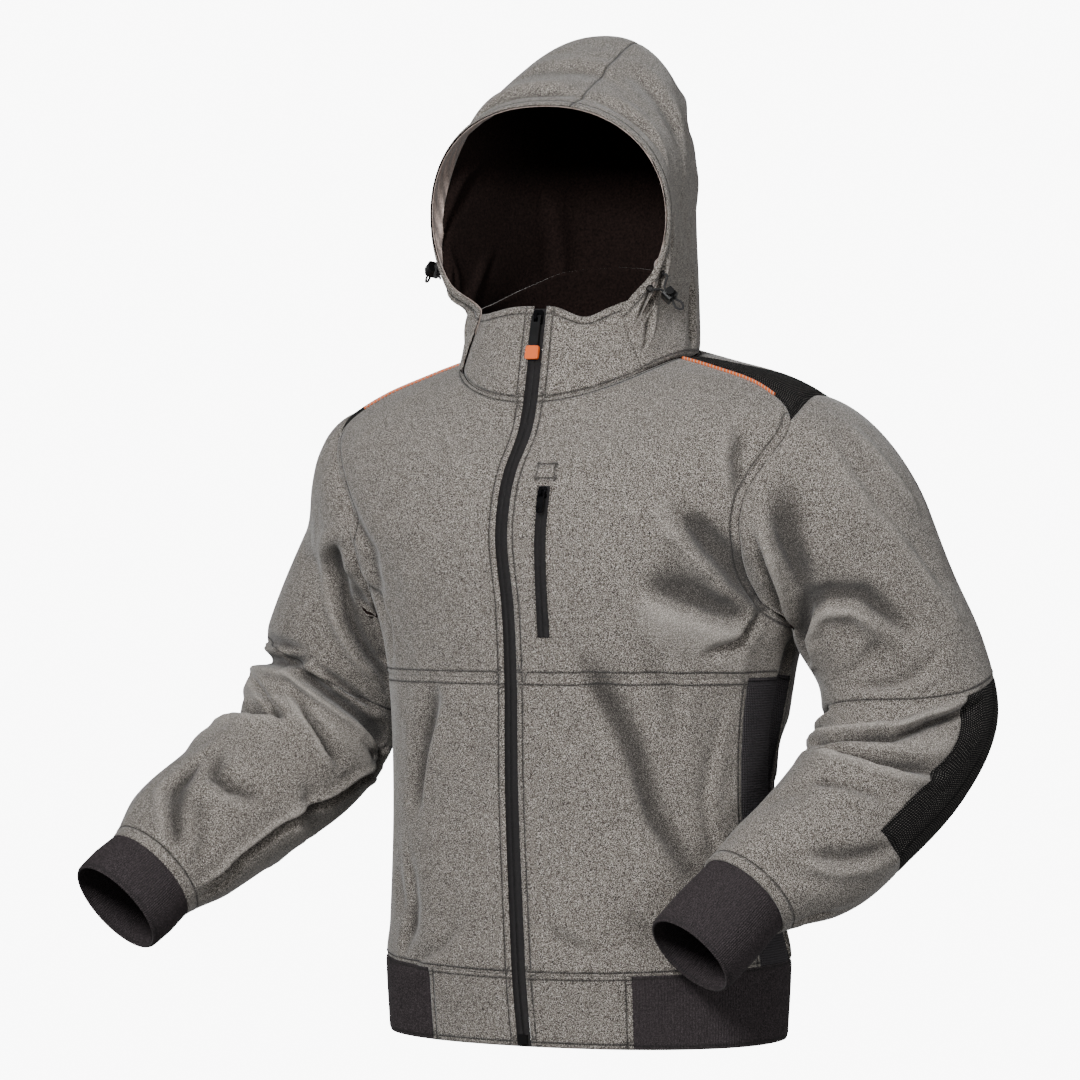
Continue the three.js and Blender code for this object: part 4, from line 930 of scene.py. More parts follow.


# %% [markdown]
# The stitch lines are a groove that the thread pulls into the cloth. It follows the distance
# that each point keeps, so it turns every corner with the seam, and a slow noise makes it
# deeper here and shallower there, which is the pucker that says it was sewn. The finishes also darken the
# colour along the groove: painted shade for the groove's shadow, partly the dark of the thread.

# %% Melange softshell
GROOVE_WIDE, GROOVE_DEEP = 0.0012, 0.0009


def stitch_groove(tree):
    far = cloth_place(tree)[2]
    near = maths(tree, "MULTIPLY", far, 1 / GROOVE_WIDE)
    fall = maths(tree, "EXPONENT", maths(tree, "MULTIPLY", maths(tree, "MULTIPLY", near, near), -1.0))
    uneven = maths(tree, "MULTIPLY_ADD", noise(tree, 95.0, 1.0), 0.9, 0.5)
    return maths(tree, "MULTIPLY", fall, uneven)


def paint_fold_shade_and_highlight(tree, base, trough_shade_colour, roll_highlight_colour):
    """Painted shade: the colour is darkened in a crease's trough; painted highlight: it is lightened on a
    roll; both follow the crease height.
    """
    fold = node(tree, "ShaderNodeAttribute", attribute_name="fold").outputs["Fac"]
    painted_trough_shade = node(tree, "ShaderNodeMapRange", {0: fold, 1: -0.001, 2: -0.011, 3: 0.0, 4: 0.76},
                  interpolation_type="SMOOTHSTEP").outputs[0]
    # painted highlight on the rolls, where the crease height stands up
    raised = node(tree, "ShaderNodeMapRange", {0: fold, 1: 0.001, 2: 0.009, 3: 0.0, 4: 0.3}).outputs[0]
    return tint(tree, painted_trough_shade, tint(tree, raised, base, roll_highlight_colour), trough_shade_colour)


def melange(name, dark, middle, light, rough=0.92):
    finish, tree, shader = blank(name, middle, rough, Sheen_Weight=0.25, Sheen_Roughness=0.55)
    speckle = noise(tree, 1300.0, 1.0, 0.6)
    base = ramp(tree, speckle, (0.36, dark), (0.48, middle), (0.53, middle), (0.64, light))
    # painted shade towards #1d1a18 in the crease troughs, and a painted highlight in the light fleck colour
    # on the rolls
    base = paint_fold_shade_and_highlight(tree, base, "#1d1a18", light)
    groove = stitch_groove(tree)
    # painted shade: the colour darkens towards #1f1d1b in the stitch groove, for its shadow and partly the
    # dark thread
    dip = maths(tree, "MULTIPLY", groove, 0.8)
    tree.links.new(tint(tree, dip, base, "#1f1d1b"), shader.inputs["Base Color"])
    bump(tree, shader, (noise(tree, 900.0, 1.0), 0.0004), (noise(tree, 26.0, 1.0), 0.006),
         (maths(tree, "MULTIPLY", groove, -1.0), GROOVE_DEEP))
    return finish


# gives the eye a warm grey knit face, flecked darker and lighter at under a millimetre
softshell = melange("melange_softshell", "#120f0d", "#615a53", "#d3ccc3")
print("made", softshell.name)

# %% [markdown]
# The cloth's inner face is short dark fleece. The rib is a charcoal knit. The yoke and the elbow patch are a
# coarse black weave, whose light dots lie in slanting rows. The side panels are a dotted knit.

# %% Other cloth
def fleece_finish():
    # gives the eye a soft dark inside that swallows the light
    finish, tree, shader = blank("short_fleece", "#1c1412", 1.0, Specular_IOR_Level=0.1)
    base = ramp(tree, noise(tree, 420.0, 3.0, 0.7), (0.3, "#100b0a"), (0.7, "#2a1f1c"))
    tree.links.new(base, shader.inputs["Base Color"])
    bump(tree, shader, (noise(tree, 380.0, 3.0, 0.7), 0.0011))
    return finish


def rib_finish():
    # gives the eye the knit's small stitches between the ribs, which are real geometry
    finish, tree, shader = blank("charcoal_rib", "#2d2628", 0.9, Sheen_Weight=0.05)
    knit = noise(tree, 800.0, 2.0, 0.7)
    base = ramp(tree, knit, (0.34, "#151112"), (0.5, "#2d2628"), (0.66, "#484043"))
    # painted shade: the colour darkens towards #1c191a in the stitch groove, for its shadow and partly the
    # dark thread
    groove = maths(tree, "MULTIPLY", stitch_groove(tree), 0.6)
    tree.links.new(tint(tree, groove, base, "#1c191a"), shader.inputs["Base Color"])
    bump(tree, shader, (noise(tree, 900.0, 1.0), 0.0004))
    return finish


def dotted(name, ground, dot, pitch, share, tall, rough):
    finish, tree, shader = blank(name, ground, rough, Specular_IOR_Level=0.25)
    along, across = cloth_place(tree)[:2]
    turn = 2 * math.pi / pitch
    one = maths(tree, "SINE", maths(tree, "MULTIPLY", maths(tree, "ADD", along, across), turn))
    two = maths(tree, "SINE", maths(tree, "MULTIPLY", maths(tree, "SUBTRACT", along, across), turn))
    both = maths(tree, "MULTIPLY", one, two)
    spot = node(tree, "ShaderNodeMapRange", {0: both, 1: 1 - 2 * share, 2: 1 - share}).outputs[0]
    flecks = maths(tree, "MULTIPLY", spot, maths(tree, "MULTIPLY_ADD", noise(tree, 500.0, 1.0), 1.2, 0.2))
    base = tint(tree, flecks, ground, dot)
    groove = stitch_groove(tree)
    # painted shade: the colour darkens towards #0c0c0c in the stitch groove, for its shadow and partly the
    # dark thread
    tree.links.new(tint(tree, maths(tree, "MULTIPLY", groove, 0.6), base, "#0c0c0c"),
                   shader.inputs["Base Color"])
    bump(tree, shader, (both, tall), (noise(tree, 70.0, 2.0), 0.0004),
         (maths(tree, "MULTIPLY", groove, -1.0), GROOVE_DEEP))
    return finish


fleece = fleece_finish()
rib = rib_finish()
# gives the eye slanting rows of light dots on black; the dots are drawn coarser than real ones
coarse_weave = dotted("coarse_weave", "#0b0a0b", "#8a8681", 0.0052, 0.2, 0.0005, 0.9)
# gives the eye the open holes of a sports knit
mesh_knit = dotted("mesh_knit", "#434043", "#0c0b0c", 0.0050, 0.4, -0.0006, 0.85)
print("made", fleece.name, rib.name, coarse_weave.name, mesh_knit.name)

# %% Trim
def facing_finish():
    # gives the eye a brown grey strip with a dull satin gleam and slanting pulls
    finish, tree, shader = blank("satin_facing", "#a8968d", 0.42, Sheen_Weight=0.3)
    along, across = cloth_place(tree)[:2]
    slant = maths(tree, "MULTIPLY_ADD", across, 260.0, maths(tree, "MULTIPLY", along, 190.0))
    wave = maths(tree, "SINE", maths(tree, "ADD", slant, maths(tree, "MULTIPLY", noise(tree, 22.0), 9.0)))
    base = ramp(tree, noise(tree, 500.0, 2.0), (0.3, "#8b7a71"), (0.7, "#c4b2a9"))
    tree.links.new(base, shader.inputs["Base Color"])
    bump(tree, shader, (wave, 0.0008), (noise(tree, 700.0, 1.0), 0.0002))
    return finish


def tape_finish():
    # gives the eye woven tape: fine ribs across, darker than the cloth beside it
    finish, tree, shader = blank("zip_tape", "#161415", 0.6)
    across = cloth_place(tree)[1]
    weave = maths(tree, "SINE", maths(tree, "MULTIPLY", across, 2 * math.pi / 0.0011))
    base = ramp(tree, noise(tree, 900.0, 1.0), (0.3, "#0e0d0e"), (0.7, "#211e1f"))
    tree.links.new(base, shader.inputs["Base Color"])
    bump(tree, shader, (weave, 0.0002))
    return finish


def piping_finish():
    # gives the eye a bright cord with silver bars slanting over it
    finish, tree, shader = blank("striped_piping", "#ee6a22", 0.45)
    along, across = cloth_place(tree)[:2]
    slant = maths(tree, "MULTIPLY_ADD", across, 1 / 0.0042, maths(tree, "MULTIPLY", along, 1 / 0.007))
    bar = maths(tree, "GREATER_THAN", maths(tree, "FRACT", slant), 0.7)
    tree.links.new(tint(tree, bar, "#ee6a22", "#c9b3a6"), shader.inputs["Base Color"])
    return finish


def plain(name, colour, rough, **values):
    finish, tree, shader = blank(name, colour, rough, **values)
    uneven = maths(tree, "MULTIPLY_ADD", noise(tree, 110.0, 2.0), 0.16, rough - 0.08)
    tree.links.new(uneven, shader.inputs["Roughness"])
    return finish


facing, tape, piping = facing_finish(), tape_finish(), piping_finish()
# a hard moulded gloss, with the small waves of the mould
black_plastic = plain("black_plastic", "#0a0a0b", 0.32, Specular_IOR_Level=0.4)
# dark plated zinc, which mirrors the room
black_metal = plain("black_metal", "#1b1b1d", 0.26, Metallic=0.9)
# the eyelet's plating is a little lighter than the slider's
eyelet_metal = plain("eyelet_metal", "#3a3838", 0.3, Metallic=1.0)
# a matt grip that stands out against the grey
orange_rubber = plain("orange_rubber", "#f26a1f", 0.5)
# tight black braid
cord_finish = plain("braided_cord", "#171617", 0.7, Sheen_Weight=0.2)
# dull thread, darker than the cloth it sews
thread = plain("thread", "#201e1c", 0.8)
# the near white studio sweep
studio_white = blank("studio_white", "#f6f6f4", 0.9, Emission_Color=(1, 1, 1, 1),
                     Emission_Strength=9.0)[0]
print("finishes", len(bpy.data.materials))

# %% [markdown]
# ## The hood's two cords
# Each cord leaves one eyelet, runs through a lock, turns in a loop, comes back through the lock
# and goes in at a second eyelet. The route is a smooth curve through a few places.

# %% Cord routes
def smooth_route(knots, count):
    """A centripetal curve through the knots, at even steps."""
    knots = [np.array(k, float) for k in knots]
    first, last = 2 * knots[0] - knots[1], 2 * knots[-1] - knots[-2]
    padded = [first] + knots + [last]
    points = []
    for a, b, c, d in zip(padded, padded[1:], padded[2:], padded[3:]):
        t0, t1, t2 = (np.linalg.norm(q - p) ** 0.5 for p, q in ((a, b), (b, c), (c, d)))
        start = ((b - a) / t0 - (c - a) / (t0 + t1) + (c - b) / t1) * t1
        end = ((c - b) / t1 - (d - b) / (t1 + t2) + (d - c) / t2) * t1
        for u in np.linspace(0, 1, 24, endpoint=False):
            points.append(b * (2 * u**3 - 3 * u**2 + 1) + start * (u**3 - 2 * u**2 + u)
                          + c * (3 * u**2 - 2 * u**3) + end * (u**3 - u**2))
    points = np.array(points + [knots[-1]])
    done = np.concatenate([[0], np.cumsum(np.linalg.norm(np.diff(points, axis=0), axis=1))])
    at = np.linspace(0, done[-1], count)
    return np.stack([np.interp(at, done, points[:, k]) for k in range(3)], 1), done[-1]


def hood_frame(side, u, w):
    p = hood(side * u, w)
    du = hood(side * u + 0.01, w) - hood(side * u - 0.01, w)
    dw = hood(side * u, w + 0.01) - hood(side * u, w - 0.01)
    return p, unit(np.cross(du, dw))


CORD_THICK = 0.0024
for name, side in (("left", 1), ("right", -1)):
    (p1, n1), (p2, n2) = hood_frame(side, 0.84, 0.13), hood_frame(side, 0.76, 0.27)
    ahead = unit(n1 * 14 + np.array([0, 12, -5]))
    lock = (p1 + p2) / 2 + ahead * 20
    wide = p2 - p1
    wide = unit(wide - ahead * (wide @ ahead))
    # each place as its side of the lock, how far ahead of it, and how far from its middle
    strands = [(-1, -9, 1.9), (-1, 0, 1.75), (-1, 7, 1.9), (-1, 14, 4), (0, 19, 0),
               (1, 14, 4), (1, 7, 1.9), (1, 0, 1.75), (1, -9, 1.9)]
    knots = [lock + ahead * d + wide * k * spread for k, d, spread in strands]
    knots = [p1 + n1 * 0.9, p1 + n1 * 6] + knots + [p2 + n2 * 6, p2 + n2 * 0.9]
    route, long = smooth_route(knots, 90)
    curve = bpy.data.curves.new(f"hood_cord_{name}_cloth", "CURVE")
    curve.dimensions, curve.bevel_depth, curve.bevel_resolution = "3D", CORD_THICK / 2, 3
    spline = curve.splines.new("POLY")
    spline.points.add(len(route) - 1)
    spline.points.foreach_set("co", np.c_[route / 1000, np.ones(len(route))].ravel())
    curve.materials.append(cord_finish)
    cord = placed(f"hood_cord_{name}_cloth", curve)
    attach(cord, "jacket")
    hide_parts(f"hood_cord_{name}")
    print(f"{name} cord {long:.1f} mm")

# %% [markdown]
# ## The nets
# The fine nets have a line every three or four millimetres, and a few more beside each seam so
# that the cloth can roll over there. The front gets more of them than the back.

# %% Fine nets
body_columns = places(40, [10] * 8 + [7] * 4 + [8] * 16 + [7] * 4 + [10] * 8,
                      (3, 8, 10, 12, 28, 30, 32, 37), (0.05, 0.1))
body_rows = places(24, [11] * 9 + [7] * 3 + [7] * 8 + [4] * 4, (2, 9, 12, 20), (0.04, 0.1))
body_net = net(body_columns, body_rows, on_body)
turns, levels = body_angles(*np.meshgrid(body_columns, body_rows, indexing="ij"))
body_net["fold"] = body_creases(turns, body_form(turns, levels)[..., 2])
collar_net = net(places(40, [8] * 8 + [5] * 4 + [6] * 16 + [5] * 4 + [8] * 8), places(3, 8),
                 lambda c, r: collar(body_angles(c, NECK)[0], np.interp(r, range(4), COLLAR_ROWS)))
plain_hood = net(places(24, 8, (12,), (0.04, 0.1)), places(9, [8] * 3 + [12] * 6), hood_place)
hood_at, hood_w = np.meshgrid(plain_hood["c"], plain_hood["r"], indexing="ij")
hood_w = np.interp(hood_w, range(len(HOOD_ROWS)), HOOD_ROWS)
hood_fold = crease_heights(HOOD_CREASES, (29, 380), hood_at, hood_w) * np.clip((1 - hood_w) / 0.06, 0, 1)
hood_full = plain_hood["P"] + plain_hood["N"] * hood_fold[..., None]
hood_net = net(plain_hood["c"], plain_hood["r"], lambda c, r: hood_full)
hood_net["fold"] = hood_fold
for title, grid in (("body", body_net), ("collar", collar_net), ("hood", hood_net)):
    print(title, "net", grid["P"].shape[:2])

# %% [markdown]
# ## The shell pieces
# Each piece is cut from its net by a rule on columns and rows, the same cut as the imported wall
# that it stands for. The rule below also names the edges that are stitched, and how far in.

# %% Body pieces
def half(c):
    return np.where(c < HALF, c, ALL_ROUND - c)


def whole(c, r):
    """The rule for a piece that takes all of its net."""
    return c > -1


def mirror(axis, at, low, high, off):
    """The same edge on the jacket's other side."""
    if axis == "c":
        return axis, ALL_ROUND - at, low, high, off
    return axis, at, ALL_ROUND - high, ALL_ROUND - low, off


two_faces = [softshell, fleece]
for side in ("left", "right"):
    def cut(title, keep, finishes, stitched, side=side):
        def mine(c, r):
            return ((c < HALF) if side == "left" else (c > HALF)) & keep(half(c), r)

        edges = stitched if side == "left" else [mirror(*edge) for edge in stitched]
        shell(f"{title}_{side}", body_net, mine, finishes, stitched=edges)

    cut("front_lower", lambda c, r: (c < FRONT) & (r > HEM) & (r < CROSS), two_faces,
        [("r", CROSS, 0, FRONT, 6), ("c", 0, HEM, CROSS, 6), ("r", HEM, 0, FRONT, 3.5),
         ("c", FRONT, HEM, CROSS, 5)])
    cut("front_upper", lambda c, r: (r > CROSS) & ((c < FRONT) | ((c < UNDER_ARM) & (r < PIT))),
        two_faces, [("r", CROSS, 0, UNDER_ARM, 6), ("c", 0, CROSS, NECK, 6), ("c", FRONT, PIT, TIP, 8.5),
                    ("r", PIT, FRONT, UNDER_ARM, 8.5), ("r", NECK, 0, FRONT, 3.5)])
    cut("side_panel", lambda c, r: (c > FRONT) & (c < SIDE) & (r > HEM) & (r < CROSS),
        [mesh_knit, fleece], [("c", SIDE, HEM, CROSS, 5), ("r", CROSS, FRONT, SIDE, 4)])
    cut("shoulder_yoke", lambda c, r: (c > FRONT) & (c < SIDE) & (r > TIP), [coarse_weave, fleece],
        [("r", TIP, FRONT, SIDE, 5), ("c", FRONT, TIP, NECK, 3.5)])
    cut("hem_patch", lambda c, r: (c < 3) & (r < HEM), two_faces,
        [("r", HEM, 0, 3, 3.5), ("r", 0, 0, 3, 5), ("c", 3, 0, HEM, 6), ("c", 0, 0, HEM, 6)])

shell("back_panel", body_net,
      lambda c, r: (r > HEM) & ((half(c) > SIDE) | ((half(c) > UNDER_ARM) & (r > CROSS) & (r < PIT))),
      two_faces, stitched=[("c", 12, PIT, NECK, 8.5), ("c", 28, PIT, NECK, 8.5), ("r", HEM, 12, 28, 3.5),
                           ("r", NECK, 12, 28, 3.5), ("c", 12, HEM, CROSS, 5), ("c", 28, HEM, CROSS, 5)])

# %% [markdown]
# The rib's ridges are real: the net under it has four lines to each rib, and the cloth goes in
# and out by half a millimetre. At the hem the ribs stand upright, and so they do on the cuffs.

# %% Ribs
def ribbed(title, columns, rows, place, pitch, tall, closed, flip, stitched, inset, quiet):
    coarse = net(np.linspace(columns[0], columns[1], 240), np.linspace(rows[0], rows[1], 5),
                 place, closed, flip)
    done = lengths_along(coarse["P"], 0)[:, 2]
    count = int(round(done[-1] / pitch))
    at = np.interp(np.linspace(0, done[-1], 4 * count + 1), done, coarse["c"])
    fixed = [c for c in (8, 12, 20, 28, 32) if columns[0] < c < columns[1] and not closed]
    for c in fixed:
        at[np.argmin(np.abs(at - c))] = c
    lines = np.linspace(rows[0], rows[1], 15)
    lines = np.unique(np.concatenate([lines, [rows[0] + 0.03, rows[1] - 0.03]]))
    smooth = net(at, lines, place, closed, flip)
    wave = np.cos(np.arange(len(at)) * math.pi / 2)[:, None] * tall
    edge = np.minimum(np.arange(len(lines)), np.arange(len(lines))[::-1])[None, :]
    height = wave * np.clip(edge / quiet, 0, 1)
    full = smooth["P"] + smooth["N"] * height[..., None]
    grid = net(at, lines, lambda c, r: full, closed, flip)
    grid["N"] = smooth["N"]
    shell(title, grid, whole, [rib], RIB, stitched=stitched, inset=inset, roll=0.9)
    return grid


hem_net = ribbed("hem_rib", (3, 37), (0, 2), on_body, 3.0, 0.62, False, 1,
                 [("r", 2, 3, 37, 2.5), ("r", 0, 3, 37, 4)], SEAM, 2.0)


def cuff_place(side):
    a = ARMS[side]
    at = [-7, 3, a["cuff_length"] / 2, a["cuff_length"] - 3, a["cuff_length"]]
    out = [0, 0, 1.8, 0.8, 0]
    return lambda t, r: arm_ring(side, t, np.interp(r, range(5), at),
                                 a["cuff"] + np.interp(r, range(5), out))


cuff_nets = {}
for name, side in (("left", 1), ("right", -1)):
    cuff_nets[name] = ribbed(f"cuff_{name}", (0, 24), (0, 4), cuff_place(side), 2.4, 0.5, True, side,
                             [("r", 4, 0, 24, 3.5)], 0, 1.5)

# %% Sleeves, elbow patches, collar and hood
for name, side in (("left", 1), ("right", -1)):
    grid = sleeves[name]
    start = look_up(body_net, *[q if side > 0 or k else 40 - q for k, q in
                                enumerate(armhole_place(grid["c"]))], what="N")
    share = np.exp(-((lengths_along(grid["P"], 1) / 9) ** 2))[..., None]
    grid["N"] = unit(grid["N"] * (1 - share / 2) + start[:, None] * share / 2)

    def patched(t, j):
        return ((t > 18) | (t < 2)) & (j > ELBOW) & (j < PATCH_END)

    shell(f"sleeve_upper_{name}", grid, lambda t, j: j < ELBOW, two_faces,
          stitched=[("r", ELBOW, 0, 24, 5)])
    shell(f"sleeve_lower_{name}", grid, lambda t, j: (j > ELBOW) & ~patched(t, j), two_faces,
          stitched=[("r", WRIST + 1, 0, 24, 12)])
    shell(f"elbow_patch_{name}", grid, patched, [coarse_weave, fleece],
          stitched=[("r", PATCH_END, 0, 24, 4), ("c", 2, ELBOW, PATCH_END, 4),
                    ("c", 18, ELBOW, PATCH_END, 4)])

shell("collar", collar_net, whole, two_faces, COLLAR_CLOTH, roll=1.3,
      stitched=[("r", 3, 0, 40, 8), ("c", 0, 0, 3, 8), ("c", 40, 0, 3, 8), ("r", 0, 0, 40, 2.5)])
for name, low in (("right", 0), ("left", 12)):
    shell(f"hood_{name}", hood_net, lambda c, r, low=low: (c > low) & (c < low + 12), two_faces,
          stitched=[("r", 0, 0, 24, 9), ("r", 9, 0, 24, 4), ("c", 12, 0, 9, 0.4)], roll=1.1)
shell("hood_facing", hood_net, lambda c, r: r < 3, [facing], FACING, -CLOTH - 0.6, 0.3, inset=0.5)

# %% [markdown]
# ## Zips
# The main zip is a reversed coil: a smooth woven tape with a shallow groove in its middle,
# where the two rows of teeth meet behind the cloth. A zigzag thread of round section, drawn a
# little coarser than a real coil, shows in the groove and catches the light.

# %% Tapes
TAPE_AT = [-1, -0.72, -0.5, -0.3, -0.1, 0, 0.1, 0.3, 0.5, 0.72, 1]
TAPE_HIGH = np.array([0.0, 0.1, 0.55, 0.62, 0.5, -0.35, 0.5, 0.62, 0.55, 0.1, 0.0])
TAPE_LINES = np.arange(len(TAPE_AT))
tape_rows = places(27, [10] * 9 + [6] * 3 + [6] * 8 + [3] * 4 + [6] * 3)


def tape_place(c, r):
    v = np.interp(r, range(25), ROWS)
    x = np.interp(c, TAPE_LINES, TAPE_AT)
    phi = swayed(x * 0.98 * edge_angle(v), v)
    h = np.minimum(0.97, np.interp(r - NECK, range(4), COLLAR_ROWS))
    return np.where((r > NECK)[..., None], collar(phi, h), body(phi, v))


def raised(grid, heights):
    full = grid["P"] + grid["N"] * heights[:, None, None]
    return net(grid["c"], grid["r"], lambda c, r: full)


tape_net = raised(net(TAPE_LINES, tape_rows, tape_place), TAPE_HIGH)
shell("zip_tape", tape_net, whole, [tape], 1.2, -0.4, 0.3, inset=0.1)


def on_front(x, z):
    """The body's surface at an x and a height, by a short search."""
    x, z = np.broadcast_arrays(np.asarray(x, float), np.asarray(z, float))
    phi, v = x / 2.2, np.interp(z, track(BODY, "z", np.linspace(0, 1, 300)), np.linspace(0, 1, 300))
    for _ in range(14):
        p = body(phi, v)
        phi = phi + (x - p[..., 0]) / 3.6
        v = np.clip(v + (z - p[..., 2]) / 900, 0, 1)
    return body(phi, v)


POCKET = {"x": 37, "top": -128, "low": -274, "wide": 12}
pocket_plain = net(
    TAPE_LINES, np.linspace(0, 1, 46),
    lambda c, r: on_front(POCKET["x"] + np.interp(c, TAPE_LINES, TAPE_AT) * POCKET["wide"] / 2,
                          POCKET["low"] + (POCKET["top"] - POCKET["low"]) * r))
pocket_net = raised(pocket_plain, TAPE_HIGH * 0.7)
shell("pocket_zip", pocket_net, whole, [tape], 0.9, 1.2, 0.3, inset=0)
welt_net = net(np.linspace(0, 1, 12), np.linspace(0, 1, 10),
               lambda c, r: on_front(26 + 22 * c - 1.5 * (1 - 2 * c) * (1 - r), -123 + 18 * r))
shell("pocket_welt", welt_net, whole, [softshell], 1.2, 1.7, 0.4, inset=0,
      stitched=[("r", 0, 0, 1, 2.5), ("r", 1, 0, 1, 2.5), ("c", 0, 0, 1, 2.5), ("c", 1, 0, 1, 2.5)])
print("pocket at", np.round(on_front(37, -200), 1))

# %% [markdown]
# ## Sewing thread and coils
# Stitches are repeats, so one short node tree makes them: it walks along a path in even steps
# and sets a small round-ended thread at each. A second tree lays a round section along a path,
# and makes the coils.

# %% Node trees for repeats
def repeat_tree(name, sockets):
    tree = bpy.data.node_groups.new(name, "GeometryNodeTree")
    tree.interface.new_socket("Geometry", in_out="INPUT", socket_type="NodeSocketGeometry")
    for title, kind, value in sockets:
        socket = tree.interface.new_socket(title, in_out="INPUT", socket_type=kind)
        if value is not None:
            socket.default_value = value
    tree.interface.new_socket("Geometry", in_out="OUTPUT", socket_type="NodeSocketGeometry")
    source, target = tree.nodes.new("NodeGroupInput"), tree.nodes.new("NodeGroupOutput")
    return tree, source, target


def close_tree(tree, source, target, shape):
    whole = node(tree, "GeometryNodeRealizeInstances", {0: shape}).outputs[0]
    smooth = node(tree, "GeometryNodeSetShadeSmooth", {0: whole}).outputs[0]
    final = node(tree, "GeometryNodeSetMaterial", {0: smooth, "Material": source.outputs["Finish"]})
    tree.links.new(final.outputs[0], target.inputs[0])


stitch_tree, source, target = repeat_tree("stitches", [
    ("Pitch", "NodeSocketFloat", 0.0032), ("Long", "NodeSocketFloat", 0.0024),
    ("Thick", "NodeSocketFloat", 0.0007), ("Finish", "NodeSocketMaterial", None)])
path = node(stitch_tree, "GeometryNodeMeshToCurve", {"Mesh": source.outputs["Geometry"]}).outputs[0]
walk = node(stitch_tree, "GeometryNodeCurveToPoints", {0: path, "Length": source.outputs["Pitch"]},
            mode="LENGTH")
ball = node(stitch_tree, "GeometryNodeMeshUVSphere", {"Segments": 5, "Rings": 4, "Radius": 0.5}).outputs[0]
size = node(stitch_tree, "ShaderNodeCombineXYZ", {
    0: source.outputs["Thick"], 1: source.outputs["Thick"], 2: source.outputs["Long"]}).outputs[0]
drawn = node(stitch_tree, "GeometryNodeTransform", {"Geometry": ball, "Scale": size}).outputs[0]
wobble = node(stitch_tree, "FunctionNodeRandomValue", {
    0: (0.85, 0.85, 0.8), 1: (1.1, 1.1, 1.1), "Seed": 7}, data_type="FLOAT_VECTOR").outputs[0]
laid = node(stitch_tree, "GeometryNodeInstanceOnPoints", {
    "Points": walk.outputs["Points"], "Instance": drawn, "Rotation": walk.outputs["Rotation"],
    "Scale": wobble}).outputs[0]
close_tree(stitch_tree, source, target, laid)

coil_tree, source, target = repeat_tree("coil", [
    ("Thick", "NodeSocketFloat", 0.0008), ("Finish", "NodeSocketMaterial", None)])
path = node(coil_tree, "GeometryNodeMeshToCurve", {"Mesh": source.outputs["Geometry"]}).outputs[0]
section = node(coil_tree, "GeometryNodeCurvePrimitiveCircle", {"Resolution": 4}, mode="RADIUS")
wide = maths(coil_tree, "MULTIPLY", source.outputs["Thick"], 0.5)
coil_tree.links.new(wide, section.inputs["Radius"])
swept = node(coil_tree, "GeometryNodeCurveToMesh", {
    0: path, 1: section.outputs[0], "Fill Caps": True}).outputs[0]
close_tree(coil_tree, source, target, swept)


def grow(name, paths, tree, values):
    """Run a repeat tree along some paths, and keep the mesh."""
    points, edges = [], []
    for line in paths:
        start = len(points)
        points += (np.asarray(line) / 1000).tolist()
        edges += [(start + k, start + k + 1) for k in range(len(line) - 1)]
    mesh = bpy.data.meshes.new(name + "_path")
    mesh.from_pydata(points, edges, [])
    holder = placed(name + "_path", mesh)
    repeat = holder.modifiers.new("Repeat", "NODES")
    repeat.node_group = tree
    for item in tree.interface.items_tree:
        if item.in_out == "INPUT" and item.name in values:
            repeat[item.identifier] = values[item.name]
    whole = holder.evaluated_get(bpy.context.evaluated_depsgraph_get())
    mesh = bpy.data.meshes.new_from_object(whole)
    bpy.data.objects.remove(holder)
    piece = placed(name, mesh)
    mesh.name = name
    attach(piece, "jacket")
    print(f"{name}: {sum(len(f.vertices) - 2 for f in mesh.polygons)} triangles")


# %% [markdown]
# A seam's path is the net's own line, moved over by the seam allowance and set a hair above
# the cloth, so the thread lies in its groove wherever the cloth goes.

# %% Seam paths
def seam(grid, axis, at, low, high, off=0.0, lift=0.1, step=3.0):
    """A path beside a net line; off is how far beside it, towards larger numbers."""
    span = np.linspace(low, high, 200)
    fixed = np.full_like(span, at)
    for _ in range(2):
        c, r = (fixed, span) if axis == "c" else (span, fixed)
        a = look_up(grid, c, r)
        move = 0.25 if off > 0 else -0.25
        c2, r2 = (c + move, r) if axis == "c" else (c, r + move)
        scale = np.linalg.norm(look_up(grid, c2, r2) - a, axis=-1) / 0.25
        if _ == 0 and off:
            fixed = at + off / np.maximum(scale, 1)
    c, r = (fixed, span) if axis == "c" else (span, fixed)
    p, n = look_up(grid, c, r), unit(look_up(grid, c, r, "N"))
    line = p + n * lift
    done = np.concatenate([[0], np.cumsum(np.linalg.norm(np.diff(line, axis=0), axis=1))])
    at_even = np.linspace(0, done[-1], max(2, int(done[-1] / step)))
    return np.stack([np.interp(at_even, done, line[:, k]) for k in range(3)], 1)


